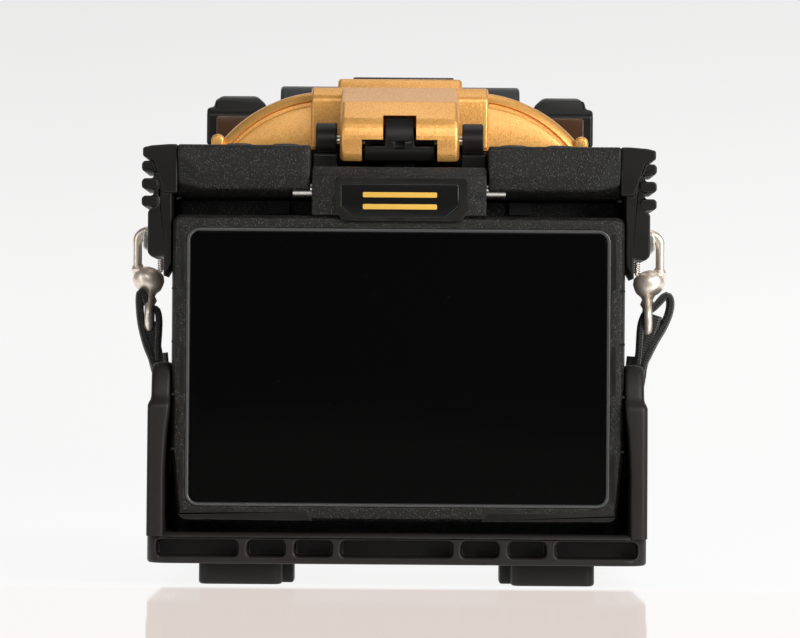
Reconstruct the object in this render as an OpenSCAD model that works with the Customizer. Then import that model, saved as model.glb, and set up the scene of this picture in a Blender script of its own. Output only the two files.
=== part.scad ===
/* [Body] */
// Width of the lower housing
body_w = 132; // [131:0.5:132]
// Height of the housing's top edge above the table
body_top = 111; // [110.8:0.1:111]
// Thickness of the housing's walls
wall = 2.5; // [2:0.1:3]

/* [Bumper and feet] */
// Width over the rubber bumper
bumper_w = 142.8; // [142:0.2:143.4]
// Depth over the rubber bumper
bumper_d = 166; // [165:0.5:167]
// Height of the feet
foot_h = 6.3; // [6:0.1:6.4]
// Height of the bumper's corner posts
post_top = 63.7; // [60:0.5:66]

/* [Monitor] */
// Width of the monitor
mon_w = 129.4; // [128:0.2:129.4]
// Width of the screen glass
glass_w = 119; // [112:0.5:120]
// Height of the screen glass
glass_h = 77.3; // [72:0.5:77.5]

/* [Wind cover] */
// Radius of the cover's side domes
dome_r = 41; // [40.5:0.1:41.2]
// Thickness of the cover's skin
skin = 2; // [1.6:0.1:2.2]
// Radius of the cover's hinge barrel
barrel_r = 12; // [11.8:0.05:12]

/* [Controls] */
// Radius of a key's cap
key_r = 4.2; // [3.8:0.1:4.3]

/* [Hidden] */
$fn = 48;

// housing, along Y and Z
front_y = -61;
rear_y = 80;
half_w = body_w / 2;
plate_top = foot_h + 3;
floor_top = plate_top + wall;
bar_top = 15;
rail_top = 20;

// monitor: slab, glass and tilt axis
mon_front = -78.5;
mon_back = -63.5;
mon_bottom = 18.3;
mon_top = 105.8;
glass_z = [23.7, 23.7 + glass_h];
tilt = [-74, 113];
block_half = 25;
pin_r = 2;
run = 0.05;

// wings, side guards and deck
wing_x = [25.5, 63.5];
wing_y = [-78.7, -48.3];
wing_top = 126;
guard_x = [65.1, 73.8];
deck_y = [-48, 80];
deck_top = 118;
coaming_top = 126;
chamber = [50, -40, 12];
key_x = [33, 46.5];
key_y = -62;

// wind cover and its hinge axis
hinge = [-60, 128];
cover_y = [-46, 18];
cover_z = 126.5;
cover_half = 56;
dome_x = 21;
dome_z = 103;
band_half = 26;
band_top = 144.9;
raised_half = 18.5;
raised_top = 148.1;
lug_x = [11, 17.4];

// splicing point
splice = [0, -14, 119.5];

// heater
heater_y = [24, 79];
heater_top = 131.5;
heater_hinge = [76, 133.5];
lid_half = 37.6;
clamp_x = [42, 60.6];
lid_top = 151.2;
clamp_top = 148;

// battery
battery_x = 48;
battery_y = [12, 81.5];
battery_z = [16, 46];

// strap hooks, on the left side; the right side is a mirror image
hook_y = -34;
hook_x = 74.2;
hook_z = 99.2;
anchor = [73.9, 99.6];
wire_r = 1.3;
loop_r = 3.5;
strap_w = 10;
strap_t = 1.8;

// the strap's route, from the left loop to the right loop
strap_route = [
    [-71.6, -34, 71.2], [-70.6, -34, 61], [-69.3, -31, 48], [-68.8, -24, 37], [-68.6, -12, 29],
    [-68.5, 6, 26], [-68.5, 28, 26], [-68.5, 50, 26], [-68.8, 68, 26.5], [-69.6, 81, 26.5],
    [-70.0, 92, 22], [-67.5, 102, 13], [-60.0, 110, 6], [-48.0, 115, 2.4], [-34.0, 116, 1.4],
    [-12.0, 112, 1.4],
    [12.0, 106, 1.4], [30.0, 105, 1.4], [43.0, 112, 1.4], [47.0, 125, 1.4], [41.0, 138, 1.4],
    [27.0, 144, 1.4], [4.0, 143, 1.4], [-20.0, 139, 1.4], [-38.0, 142, 1.4], [-49.0, 153, 1.4],
    [-47.0, 168, 1.4], [-34.0, 177, 1.4], [-10.0, 178, 1.4], [18.0, 174, 1.4], [42.0, 166, 1.4],
    [58.0, 152, 1.6], [66.0, 134, 3], [69.5, 117, 7], [70.5, 104, 13], [70.3, 92, 22],
    [69.6, 81, 26.5], [68.8, 68, 26.5], [68.5, 50, 26], [68.5, 28, 26], [68.5, 6, 26], [68.6, -12, 29],
    [68.8, -24, 37], [69.3, -31, 48], [70.6, -34, 61], [71.6, -34, 71.2]
];

// ---- shared shapes ----

// a block between low and high ends along each axis
module block(x, y, z) {
    translate([x[0], y[0], z[0]]) cube([x[1] - x[0], y[1] - y[0], z[1] - z[0]]);
}

// a flat rectangle with round corners, between low and high ends
module round_rect(x, y, r) {
    translate([x[0] + r, y[0]]) square([x[1] - x[0] - 2 * r, y[1] - y[0]]);
    translate([x[0], y[0] + r]) square([x[1] - x[0], y[1] - y[0] - 2 * r]);
    for (cx = [x[0] + r, x[1] - r], cy = [y[0] + r, y[1] - r]) translate([cx, cy]) circle(r);
}

// a (y, z) profile carried along X
module along_x(x) {
    translate([x[0], 0, 0]) rotate([90, 0, 90]) linear_extrude(height = x[1] - x[0]) children();
}

// an (x, z) profile carried along Y
module along_y(y) {
    translate([0, y[1], 0]) rotate([90, 0, 0]) linear_extrude(height = y[1] - y[0]) children();
}

// an (x, y) profile carried along Z
module along_z(z) {
    translate([0, 0, z[0]]) linear_extrude(height = z[1] - z[0]) children();
}

module rod_x(x, y, z, r) {
    translate([x[0], y, z]) rotate([0, 90, 0]) cylinder(h = x[1] - x[0], r = r);
}

module rod_y(x, y, z, r) {
    translate([x, y[1], z]) rotate([90, 0, 0]) cylinder(h = y[1] - y[0], r = r);
}

module rod_z(x, y, z, r) {
    translate([x, y, z[0]]) cylinder(h = z[1] - z[0], r = r);
}

// the children as they are for side 1, and mirrored to the left for side -1
module on_side(side) {
    mirror([side < 0 ? 1 : 0, 0, 0]) children();
}

module both_sides() {
    for (side = [1, -1]) on_side(side) children();
}

// ---- base, bumper and housing ----

module base_plate() {
    color("dimgray") difference() {
        along_z([foot_h, plate_top]) round_rect([-64, 64], [-74, 77], 5);
        rod_z(0, 0, [foot_h - 1, plate_top + 1], 5);
    }
}

module rubber_feet() {
    color("black") both_sides() {
        for (y = [[-74, -50], [45, 63]]) {
            along_z([1, foot_h]) round_rect([32.8, 56.8], y, 3);
            along_z([0, 1]) round_rect([33.8, 55.8], [y[0] + 1, y[1] - 1], 3);
        }
        along_z([0.2, foot_h]) round_rect([29.7, 40], [-66, -52], 1);
    }
}

// the half of the bumper ring between two Y values, round the plate and the housing
module bumper_ring(y, top) {
    half = bumper_w / 2;
    difference() {
        intersection() {
            along_z([foot_h, top]) round_rect([-half, half], [-bumper_d / 2, bumper_d / 2], 7);
            block([-half, half], y, [foot_h, top]);
        }
        block([-64, 64], [-74, 77], [foot_h - 1, plate_top]);
        block([-half_w, half_w], [front_y, rear_y], [plate_top, top + 1]);
    }
}

// the long and short slots in the bar's front
module bar_slots() {
    y = [-bumper_d / 2 - 1, -bumper_d / 2 + 3];
    for (x = [[-68.6, -45.1], [-42.6, -31.7], [-29.1, -18.3], [-16, 16],
            [18.3, 29.1], [31.7, 42.6], [45.1, 68.6]])
        along_y(y) round_rect(x, [8.3, 13.1], 1);
}

// a corner post: its side outline, cut to its outline from the front
module bumper_post() {
    difference() {
        intersection() {
            along_x([65, bumper_w / 2]) polygon([[-80, bar_top], [-82, 22], [-81.5, 43],
                [-78, 58], [-74, post_top - 1.5], [-72, post_top], [-60, post_top],
                [-55, 56], [-46, 34], [-38, 24], [-30, rail_top], [-30, bar_top]]);
            along_y([-bumper_d / 2, -30]) polygon([[66.5, bar_top], [bumper_w / 2, bar_top],
                [bumper_w / 2, 51.5], [70.5, 53], [70.5, post_top - 1.7], [69, post_top],
                [66.5, post_top], [65.1, post_top - 1.5], [65.1, 48.6], [66.1, 40], [66.5, 33]]);
        }
        block([-half_w, half_w], [front_y, rear_y], [plate_top, post_top + 1]);
    }
}

module front_bumper() {
    color("#191715") difference() {
        union() {
            bumper_ring([-bumper_d / 2, -30], bar_top);
            both_sides() bumper_post();
        }
        bar_slots();
    }
}

module rear_bumper() {
    color("#191715") difference() {
        bumper_ring([-30, bumper_d / 2], rail_top);
        block([-battery_x - 3, battery_x + 3], [rear_y - 1, bumper_d / 2 + 1],
            [bar_top, rail_top + 1]);
    }
}

module main_housing() {
    color("#1b1a19") difference() {
        along_z([plate_top, body_top]) round_rect([-half_w, half_w], [front_y, rear_y], 4);
        along_z([floor_top, body_top + 1])
            round_rect([wall - half_w, half_w - wall], [front_y + wall, rear_y - wall], 2);
        block([-battery_x - 0.6, battery_x + 0.6], [rear_y - wall - 1, rear_y + 1],
            [battery_z[0] - 0.5, battery_z[1] + 0.5]);
        rod_z(0, 0, [plate_top - 1, floor_top + 1], 5);
        rod_y(-30, [rear_y - wall - 1, rear_y + 1], 64, 4.2);
        block([-20, -8], [rear_y - wall - 1, rear_y + 1], [61.5, 66.5]);
        both_sides() for (y = [26:6:62])
            along_x([half_w - wall - 1, half_w + 1]) round_rect([y, y + 2.4], [72, 96], 1.1);
    }
}

module tripod_insert() {
    color("goldenrod") difference() {
        union() {
            rod_z(0, 0, [foot_h, 14.8], 5);
            rod_z(0, 0, [floor_top, floor_top + 1.5], 7);
        }
        rod_z(0, 0, [foot_h - 1, 13.3], 3.175);
    }
}

module battery_bay() {
    color("#2a2a2a") difference() {
        block([-50.5, 50.5], [9, rear_y - wall], [floor_top + 3, 48.4]);
        block([-battery_x - 0.5, battery_x + 0.5], [11, rear_y],
            [battery_z[0] - 0.4, battery_z[1] + 0.5]);
    }
}

module battery_pack() {
    color("#222222") difference() {
        union() {
            block([-battery_x, battery_x], [battery_y[0], rear_y - 0.5], battery_z);
            block([-battery_x - 0.3, battery_x + 0.3], [rear_y - 1, battery_y[1]],
                [battery_z[0] - 0.2, battery_z[1] + 0.2]);
        }
        along_y([battery_y[1] - 1.5, battery_y[1] + 1]) round_rect([-14, 14], [25, 37], 3);
    }
}

// ---- electronics ----

module board_standoffs() {
    color("goldenrod") for (x = [-57, 57], y = [-52, 70]) rod_z(x, y, [floor_top, 56], 2.5);
}

module main_board() {
    color("darkgreen") {
        block([-60, 60], [-55, 74], [56, 57.6]);
        block([-12, 12], [-30, -6], [57.5, 60.5]);
        block([20, 46], [-40, -20], [57.5, 61]);
        block([-50, -30], [-44, -20], [57.5, 64]);
        for (x = [-44:11:44]) rod_z(x, 6, [57.5, 68], 4);
    }
}

module high_voltage_unit() {
    color("#8a6a2a") {
        block([-52, -16], [22, 58], [57.6, 84]);
        rod_z(-34, 40, [83, 92], 12);
    }
}

module power_sockets() {
    color("silver") {
        difference() {
            rod_y(-30, [60, rear_y + 0.5], 64, 4.2);
            rod_y(-30, [66, rear_y + 1], 64, 3);
        }
        rod_y(-30, [65, rear_y], 64, 0.8);
        difference() {
            block([-20, -8], [62, rear_y + 0.5], [61.5, 66.5]);
            block([-19.3, -8.7], [66, rear_y + 1], [62.2, 65.8]);
        }
    }
}

module socket_flap() {
    color("#191715") {
        along_y([rear_y + 0.8, rear_y + 2.4]) round_rect([-38, -2], [56, 71], 2);
        rod_x([-38, -2], rear_y + 1.6, 56, 0.8);
    }
}

// ---- deck, wings and side guards ----

module optical_bench() {
    color("silver") difference() {
        block([-60, 60], [-46, 16], [103, body_top]);
        for (x = [-14, 14]) rod_z(x, splice[1], [102, body_top + 1], 6.4);
    }
}

module top_deck() {
    color("#1b1a19") difference() {
        union() {
            along_z([body_top, deck_top]) round_rect([-half_w, half_w], deck_y, 4);
            along_z([deck_top, coaming_top])
                round_rect([-cover_half - 1, cover_half + 1], [deck_y[0], 20], 3);
        }
        along_z([body_top - 1, coaming_top + 1])
            round_rect([-chamber[0], chamber[0]], [chamber[1], chamber[2]], 3);
        block([-70, 70], [splice[1] - 1.5, splice[1] + 1.5], [119, coaming_top + 1]);
    }
}

module wing() {
    difference() {
        along_x(wing_x) polygon([[wing_y[1], body_top], [front_y, body_top], [-72, 111.6],
            [-77.5, 113.5], [wing_y[0], 117], [-78.2, wing_top - 1.5], [-76.8, wing_top],
            [wing_y[1], wing_top]]);
        block([wing_x[0] + 1.8, wing_x[1] - 2], [-75.5, wing_y[1] - 2], [117.5, wing_top - 2]);
        for (x = key_x) rod_z(x, key_y, [wing_top - 3, wing_top + 1], key_r + 0.35);
        rod_x([wing_x[0] - 1, wing_x[0] + 5], tilt[0], tilt[1], pin_r);
    }
}

module left_wing() {
    color("#1b1a19") on_side(-1) wing();
}

module right_wing() {
    color("#1b1a19") on_side(1) wing();
}

// the guard outside a wing: a cap, comb ribs and a hanging lobe
module side_guard() {
    difference() {
        union() {
            along_y([-77.5, -50]) polygon([[wing_x[1], 112], [67.4, 112], [70.5, 121],
                [73.5, 122.5], [73.5, 125], [71, 125.6], [66, wing_top], [wing_x[1], wing_top]]);
            along_y([-76.5, -52]) polygon([[guard_x[0], 92], [67.4, 88], [67.4, 94],
                [70.8, 93.6], [72, 94.8], [72, 106.7], [70.5, 108], [70.5, 122],
                [guard_x[0], 122]]);
            for (z = [108, 113, 118])
                along_y([-77, -51]) round_rect([69, guard_x[1]], [z, z + 3.2], 1.2);
        }
        block([0, half_w], [front_y, rear_y], [80, body_top]);
    }
}

module left_side_guard() {
    color("#1b1a19") on_side(-1) side_guard();
}

module right_side_guard() {
    color("#1b1a19") on_side(1) side_guard();
}

// ---- keys ----

module key_pads() {
    color("dimgray") both_sides() block([28, 52], [key_y - 6, key_y + 6], [117.5, 118.5]);
}

module key(x) {
    rod_z(x, key_y, [wing_top - 4, wing_top + 1.1], key_r);
    rod_z(x, key_y, [wing_top - 4.4, wing_top - 3.2], key_r + 0.8);
    rod_z(x, key_y, [wing_top - 6.4, wing_top - 4.3], 2);
}

module power_key() {
    color("#2c2b2a") on_side(-1) key(key_x[1]);
}

module left_arrow_key() {
    color("#2c2b2a") on_side(-1) key(key_x[0]);
}

module right_arrow_key() {
    color("#2c2b2a") key(key_x[0]);
}

module start_key() {
    color("#2c2b2a") key(key_x[1]);
}

// ---- monitor ----

module monitor_bezel() {
    half = mon_w / 2;
    color("#161616") difference() {
        intersection() {
            along_y([mon_front, -69]) polygon([[-half + 2, mon_bottom], [half - 2, mon_bottom],
                [half, 39], [half, mon_top - 2], [half - 2, mon_top], [2 - half, mon_top],
                [-half, mon_top - 2], [-half, 39]]);
            along_x([-half, half]) polygon([[mon_front, mon_bottom + 1.7],
                [mon_front + 1.7, mon_bottom], [-69, mon_bottom], [-69, mon_top],
                [mon_front + 1.7, mon_top], [mon_front, mon_top - 1.7]]);
        }
        along_y([mon_front - 1, -68])
            round_rect([-glass_w / 2 - 1.2, glass_w / 2 + 1.2],
                [glass_z[0] - 1.2, glass_z[1] + 1.2], 3.7);
    }
}

module monitor_rear_cover() {
    half = mon_w / 2;
    color("#161616") difference() {
        along_y([-69, mon_back]) polygon([[-half + 3, mon_bottom], [half - 3, mon_bottom],
            [half, 40], [half, mon_top - 3], [half - 3, mon_top], [3 - half, mon_top],
            [-half, mon_top - 3], [-half, 40]]);
        block([-60, 60], [-70, mon_back - 1.8], [mon_bottom + 3, mon_top - 3]);
    }
}

module glass_rim() {
    color("#333333") along_y([mon_front - 0.3, mon_front + 2.5]) difference() {
        round_rect([-glass_w / 2 - 1.2, glass_w / 2 + 1.2],
            [glass_z[0] - 1.2, glass_z[1] + 1.2], 3.7);
        round_rect([-glass_w / 2, glass_w / 2], glass_z, 3);
    }
}

module screen_glass() {
    color("black") along_y([mon_front + 0.2, mon_front + 1.6])
        round_rect([-glass_w / 2, glass_w / 2], glass_z, 3);
}

module lcd_panel() {
    color("dimgray") block([-57, 57], [mon_front + 1.6, -72], [25.5, 99]);
}

module monitor_board() {
    color("darkgreen") {
        block([-50, 50], [-70.5, -69.5], [34, 92]);
        block([-20, 20], [-69.6, -66.5], [50, 74]);
    }
}

module monitor_hinge_block() {
    color("#161616") difference() {
        along_x([-block_half, block_half]) intersection() {
            union() {
                translate([-79.6, mon_top]) square([12.1, tilt[1] - mon_top]);
                translate([tilt[0], tilt[1]]) circle(8);
            }
            polygon([[-79.6, mon_top], [-67, mon_top], [-64, 110], [-64, 120], [-76.5, 120],
                [-79.6, 117.2]]);
        }
        for (x = [-block_half - 1, 15]) rod_x([x, x + 11], tilt[0], tilt[1], pin_r + run);
        block([-16.6, 17.1], [-81, -79.1], [104.9, 114.6]);
    }
}

module badge_plate() {
    color("black") along_y([-80.1, -79.1]) polygon([[-12, 106], [12.5, 106], [16.5, 109],
        [16.5, 114], [-16, 114], [-16, 109]]);
}

module monitor_hinge_pins() {
    color("silver") both_sides() rod_x([15.5, wing_x[0] + 5], tilt[0], tilt[1], pin_r);
}

module monitor_stop_pads() {
    color("black") both_sides() block([32, 38], [front_y - 1.5, front_y], [107, 110.5]);
}

// ---- wind cover ----

module cover_hinge_bracket() {
    color("#1b1a19") difference() {
        union() {
            block([-25, 25], [-64.5, -50], [body_top, 114]);
            both_sides() {
                rod_x([18.2, 24.3], hinge[0], hinge[1], 5.5);
                block([18.2, 24.3], [-64.5, -54.5], [113, hinge[1]]);
                block([17.9, 25], [-66, -50], [119, 124]);
            }
            rod_x([-10.1, 10.1], hinge[0], hinge[1], 5);
            block([-4.3, 4.3], [-63, -57], [113, hinge[1]]);
            intersection() {
                rod_x([-10.1, 10.1], hinge[0], hinge[1], 10.3);
                block([-10.1, 10.1], [-72, -62], [122, 126.3]);
            }
            intersection() {
                rod_x([-4.3, 4.3], hinge[0], hinge[1], 10.3);
                block([-4.3, 4.3], [-72, -62], [123.4, 134.7]);
            }
        }
        rod_x([-30, 30], hinge[0], hinge[1], pin_r);
        block([-1.3, 1.3], [-73, -68.5], [125.9, 127.4]);
    }
}

module cover_hinge_pin() {
    color("silver") rod_x([-24.3, 24.3], hinge[0], hinge[1], pin_r);
}

// the band's outline from the side, skin thickness d inside the outer surface
module band_side(d) {
    polygon([[-60, 128], [-60, 139 - d], [-54, 142.4 - d], [-47, band_top - d],
        [8, band_top - d], [14, 142.4 - d], [cover_y[1] + 1 - d, 134.5], [cover_y[1] + 1 - d, cover_z],
        [-48 + d, cover_z], [-48 + d, 128]]);
}

// the part of the band's outline ahead of the domes
module band_front(d) {
    intersection() {
        band_side(d);
        translate([-80, 100]) square([32, 60]);
    }
}

// the barrel's skin with its lugs, and the middle band behind it
module wind_cover_band() {
    color("#d99036") difference() {
        union() {
            intersection() {
                rod_x([-lug_x[1], lug_x[1]], hinge[0], hinge[1], barrel_r);
                block([-lug_x[1], lug_x[1]], [-73, -59.9], [122, 141]);
            }
            difference() {
                along_x([-lug_x[1], lug_x[1]]) band_front(0);
                along_x([-lug_x[0], lug_x[0]]) band_front(skin);
            }
            difference() {
                along_x([-band_half, band_half]) intersection() {
                    band_side(0);
                    translate([-51, 100]) square([100, 60]);
                }
                along_x([-band_half - 1, band_half + 1]) intersection() {
                    band_side(skin);
                    translate([-49, 100]) square([100, 60]);
                }
            }
            along_x([-raised_half, raised_half]) polygon([[-42, band_top - 0.5],
                [-38, raised_top], [4, raised_top], [8, band_top - 0.5]]);
        }
        rod_x([-lug_x[0], lug_x[0]], hinge[0], hinge[1], barrel_r - 1.2);
        block([-lug_x[0], lug_x[0]], [-75, -59], [110, hinge[1]]);
        block([-4.8, 4.8], [-75, -62], [110, 135.2]);
        rod_x([-30, 30], hinge[0], hinge[1], pin_r + run);
    }
}

// the domes' outline from the front, skin thickness d inside the outer surface
module dome_front(d) {
    intersection() {
        union() {
            for (s = [-1, 1]) translate([s * dome_x, dome_z]) circle(dome_r - d);
            translate([-dome_x, dome_z]) square([2 * dome_x, dome_r - d]);
        }
        translate([d - cover_half, cover_z - (d > 0 ? 1 : 0)])
            square([2 * (cover_half - d), 30]);
    }
}

module dome_side(d) {
    polygon([[cover_y[0] + d, 120], [cover_y[0] + d, 142 - d], [cover_y[0] + 2 + d, 145 - d],
        [8 - d, 145 - d], [13.5 - d, 142 - d], [cover_y[1] - d, 135 - d], [cover_y[1] - d, 120]]);
}

module wind_cover_domes() {
    color("#d99036") difference() {
        intersection() {
            along_y([cover_y[0], cover_y[1]]) dome_front(0);
            along_x([-60, 60]) dome_side(0);
        }
        intersection() {
            along_y([cover_y[0], cover_y[1]]) dome_front(skin);
            along_x([-60, 60]) dome_side(skin);
        }
        block([-band_half, band_half], [-80, 30], [120, 160]);
        block([-70, 70], [splice[1] - 1.5, splice[1] + 1.5], [120, cover_z + 1.5]);
    }
}

module cover_trim() {
    color("black") block([-14, 16], [-34, 2], [raised_top, raised_top + 0.8]);
}

module cover_press_arms() {
    color("dimgray") both_sides() {
        block([4, 8], [splice[1] - 3, splice[1] + 3], [124, band_top - skin]);
        block([3.4, 8.6], [splice[1] - 2, splice[1] + 2], [splice[2] + 0.6, 124]);
    }
}

// ---- splicing unit ----

module v_grooves() {
    color("white") both_sides() difference() {
        block([3, 9], [splice[1] - 4, splice[1] + 4], [body_top, splice[2] + 0.2]);
        along_x([2, 10]) polygon([[splice[1] - 1, splice[2] + 1], [splice[1] + 1, splice[2] + 1],
            [splice[1], splice[2] - 0.6]]);
    }
}

module electrode_holders() {
    color("#3a3a3a") for (s = [-1, 1]) difference() {
        block([-2.6, 2.6], [splice[1] + s * 11 - 5, splice[1] + s * 11 + 5],
            [body_top, splice[2] + 3]);
        rod_y(0, [splice[1] - 20, splice[1] + 20], splice[2], 1);
    }
}

module electrodes() {
    color("silver") for (s = [-1, 1]) {
        translate([0, splice[1] + s * 1.2, splice[2]]) rotate([s > 0 ? -90 : 90, 0, 0]) {
            cylinder(h = 2.8, r1 = 0.1, r2 = 1);
            translate([0, 0, 2.8]) cylinder(h = 12.5, r = 1);
        }
    }
}

module microscope_objectives() {
    color("#222222") for (x = [-14, 14]) {
        rod_z(x, splice[1], [84, body_top - 1], 6.3);
        rod_z(x, splice[1], [body_top - 1.1, body_top], 4.6);
        block([x - 8, x + 8], [splice[1] - 8, splice[1] + 8], [76, 85]);
    }
}

module fibre_stage() {
    block([22, 40], [splice[1] - 10, splice[1] + 10], [body_top + 0.3, 117]);
    block([22, 36], [splice[1] - 7, splice[1] + 3], [116.5, splice[2]]);
    difference() {
        block([22, 36], [splice[1] + 5, splice[1] + 9], [116.5, 123]);
        block([24.5, 33.5], [splice[1] + 4, splice[1] + 10], [118.5, 124]);
    }
    rod_x([22, 36], splice[1] + 7, 121, 0.8);
}

module left_fibre_stage() {
    color("silver") on_side(-1) fibre_stage();
}

module right_fibre_stage() {
    color("silver") fibre_stage();
}

module sheath_clamp() {
    difference() {
        union() {
            block([25.4, 32.6], [splice[1] - 6, splice[1] + 7], [splice[2] + 0.8, splice[2] + 3]);
            rod_x([25.4, 32.6], splice[1] + 7, 121, 1.6);
        }
        rod_x([25, 33], splice[1] + 7, 121, 0.8 + run);
    }
}

module left_sheath_clamp() {
    color("#3a3a3a") on_side(-1) sheath_clamp();
}

module right_sheath_clamp() {
    color("#3a3a3a") sheath_clamp();
}

// ---- heater ----

module heater_base() {
    color("#20242a") difference() {
        union() {
            along_z([deck_top, heater_top]) round_rect([-61.5, 61.5], heater_y, 3);
            both_sides() block([40.4, 41.6], [heater_hinge[0] - 3, heater_hinge[0] + 3],
                [heater_top - 1, heater_hinge[1] + 2.6]);
        }
        block([-34, 34], [46, 58], [122, heater_top + 1]);
        block([-70, 70], [49.5, 54.5], [126.5, heater_top + 1]);
        rod_x([-70, 70], heater_hinge[0], heater_hinge[1], 1.2);
        rod_x([-lid_half - 0.3, lid_half + 0.3], heater_hinge[0], heater_hinge[1], 3.4);
        both_sides() rod_x([clamp_x[0] - 0.3, clamp_x[1] + 1], heater_hinge[0], heater_hinge[1], 3.4);
    }
}

module heater_plate() {
    color("silver") difference() {
        block([-33.5, 33.5], [46.5, 57.5], [122, 128]);
        block([-34, 34], [49.5, 54.5], [124.5, 129]);
    }
}

// a hinged lid over part of the heater, hollow underneath
module heater_cap(x, top) {
    difference() {
        union() {
            along_x(x) polygon([[28, heater_top + 0.5], [28, top - 6], [32, top - 1], [35, top],
                [66, top], [71, top - 5], [72, 138], [72, heater_top + 0.5]]);
            rod_x(x, heater_hinge[0], heater_hinge[1], 3);
            block([x[0] + 1, x[1] - 1], [71, heater_hinge[0]], [heater_hinge[1] - 1, 136]);
        }
        block([x[0] + 2, x[1] - (x[0] > 0 ? 4.4 : 2)], [31, 69.5], [heater_top - 1, top - 3]);
        rod_x([x[0] - 1, x[1] + 1], heater_hinge[0], heater_hinge[1], 1.2 + run);
    }
}

module heater_lid() {
    color("#20242a") heater_cap([-lid_half, lid_half], lid_top);
}

// an end cap, stepped in at its outer top edge and sloped at its inner one
module heater_clamp() {
    color("black") intersection() {
        heater_cap(clamp_x, clamp_top);
        along_y([20, 90]) polygon([[clamp_x[0], 120], [clamp_x[0], clamp_top - 3],
            [clamp_x[0] + 3, clamp_top], [clamp_x[1] - 4.2, clamp_top],
            [clamp_x[1] - 2.3, clamp_top - 1.8], [clamp_x[1] - 2.3, clamp_top - 3.8],
            [clamp_x[1], clamp_top - 4], [clamp_x[1], 120]]);
    }
}

module left_heater_clamp() {
    on_side(-1) heater_clamp();
}

module right_heater_clamp() {
    heater_clamp();
}

module heater_hinge_pin() {
    color("silver") rod_x([-clamp_x[1], clamp_x[1]], heater_hinge[0], heater_hinge[1], 1.2);
}

// ---- strap and its hooks ----

module strap_anchors() {
    color("silver") both_sides() {
        rod_y(anchor[0], [hook_y - 9, hook_y + 9], anchor[1], 1.5);
        for (y = [hook_y - 9, hook_y + 9])
            block([half_w, anchor[0] + 1.5], [y - 1.5, y + 1.5], [anchor[1] - 3, anchor[1] + 3]);
    }
}

// a snap hook: its loop over the anchor bar, its swivel body and the strap's eye
module hook() {
    translate([hook_x, hook_y, hook_z]) rotate([90, 0, 0]) {
        rotate_extrude(angle = 200, start = -10) translate([loop_r, 0]) circle(wire_r, $fn = 24);
    }
    rod_z(hook_x + loop_r, hook_y, [hook_z - 9, hook_z], wire_r);
    rod_z(hook_x - 0.2, hook_y, [hook_z - 13.5, hook_z - 8], 4.2);
    rod_z(hook_x - 0.2, hook_y, [hook_z - 18, hook_z - 13.4], 1.4);
    rod_z(hook_x - loop_r, hook_y, [hook_z - 8.5, hook_z - 1.8], 0.5);
    translate([hook_x - 0.2, hook_y, hook_z - 21.5]) rotate([0, 90, 0])
        rotate_extrude() translate([4.6, 0]) circle(1.1, $fn = 24);
}

module strap_hooks() {
    color("#c9b7a4") both_sides() hook();
}

module hook_gate() {
    difference() {
        union() {
            rod_z(hook_x - loop_r, hook_y, [hook_z - 4.7, hook_z - 1.1], 1.2);
            rod_y(hook_x - loop_r, [hook_y - 3.4, hook_y], hook_z - 3, 0.7);
        }
        rod_z(hook_x - loop_r, hook_y, [hook_z - 5, hook_z - 1], 0.5 + run);
    }
}

module left_hook_gate() {
    color("#c9b7a4") on_side(-1) hook_gate();
}

module right_hook_gate() {
    color("#c9b7a4") hook_gate();
}

// the strap's sewn end, folded through the eye
module strap_loops() {
    color("#141414") both_sides() {
        block([70.5, 72.7], [hook_y - 5, hook_y + 5], [71.2, 76.2]);
        block([75.4, 77.3], [hook_y - 5, hook_y + 5], [67.4, 76.2]);
        block([70.5, 77.3], [hook_y - 2.3, hook_y + 2.3], [75.1, 76.8]);
        block([72.9, 77.3], [hook_y - 5, hook_y + 5], [67.4, 69.2]);
    }
}

// ring i of the strap: a flat eight-sided section across the route's direction. It stands on its
// edge along the housing and turns flat as it comes down to the table.
function unit(v) = v / norm(v);
function ahead(i) = unit(strap_route[min(i + 1, len(strap_route) - 1)] - strap_route[max(i - 1, 0)]);
function upright(i) = min(1, max(0, (strap_route[i][2] - 3) / 19));
function wide(i) = let (t = ahead(i), s = upright(i)) s >= 1 ? unit(cross([1, 0, 0], t))
    : s <= 0 ? unit(cross(t, [0, 0, 1]))
    : unit(unit(cross(t, [0, 0, 1])) * (1 - s) + unit(cross([1, 0, 0], t)) * s);

function strap_ring(i) = let (t = ahead(i), w = wide(i), n = unit(cross(t, w)))
    [for (k = [0:7]) let (a = 45 * k + 22.5)
        strap_route[i] + w * cos(a) * strap_w / 2 + n * sin(a) * strap_t / 2];

module strap() {
    n = len(strap_route);
    color("#141414") polyhedron(
        points = [for (i = [0:n - 1]) each strap_ring(i)],
        faces = concat([[for (k = [0:7]) k]], [[for (k = [7:-1:0]) (n - 1) * 8 + k]],
            [for (i = [0:n - 2], k = [0:7])
                [i * 8 + k, (i + 1) * 8 + k, (i + 1) * 8 + (k + 1) % 8, i * 8 + (k + 1) % 8]]));
}

base_plate();
rubber_feet();
front_bumper();
rear_bumper();
main_housing();
tripod_insert();
battery_bay();
battery_pack();
board_standoffs();
main_board();
high_voltage_unit();
power_sockets();
socket_flap();
optical_bench();
top_deck();
left_wing();
right_wing();
left_side_guard();
right_side_guard();
key_pads();
power_key();
left_arrow_key();
right_arrow_key();
start_key();
monitor_bezel();
monitor_rear_cover();
screen_glass();
glass_rim();
lcd_panel();
monitor_board();
monitor_hinge_block();
badge_plate();
monitor_hinge_pins();
monitor_stop_pads();
cover_hinge_bracket();
cover_hinge_pin();
wind_cover_band();
wind_cover_domes();
cover_trim();
cover_press_arms();
v_grooves();
electrodes();
electrode_holders();
microscope_objectives();
left_fibre_stage();
right_fibre_stage();
left_sheath_clamp();
right_sheath_clamp();
heater_base();
heater_plate();
heater_lid();
left_heater_clamp();
right_heater_clamp();
heater_hinge_pin();
strap_anchors();
strap_hooks();
left_hook_gate();
right_hook_gate();
strap_loops();
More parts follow.
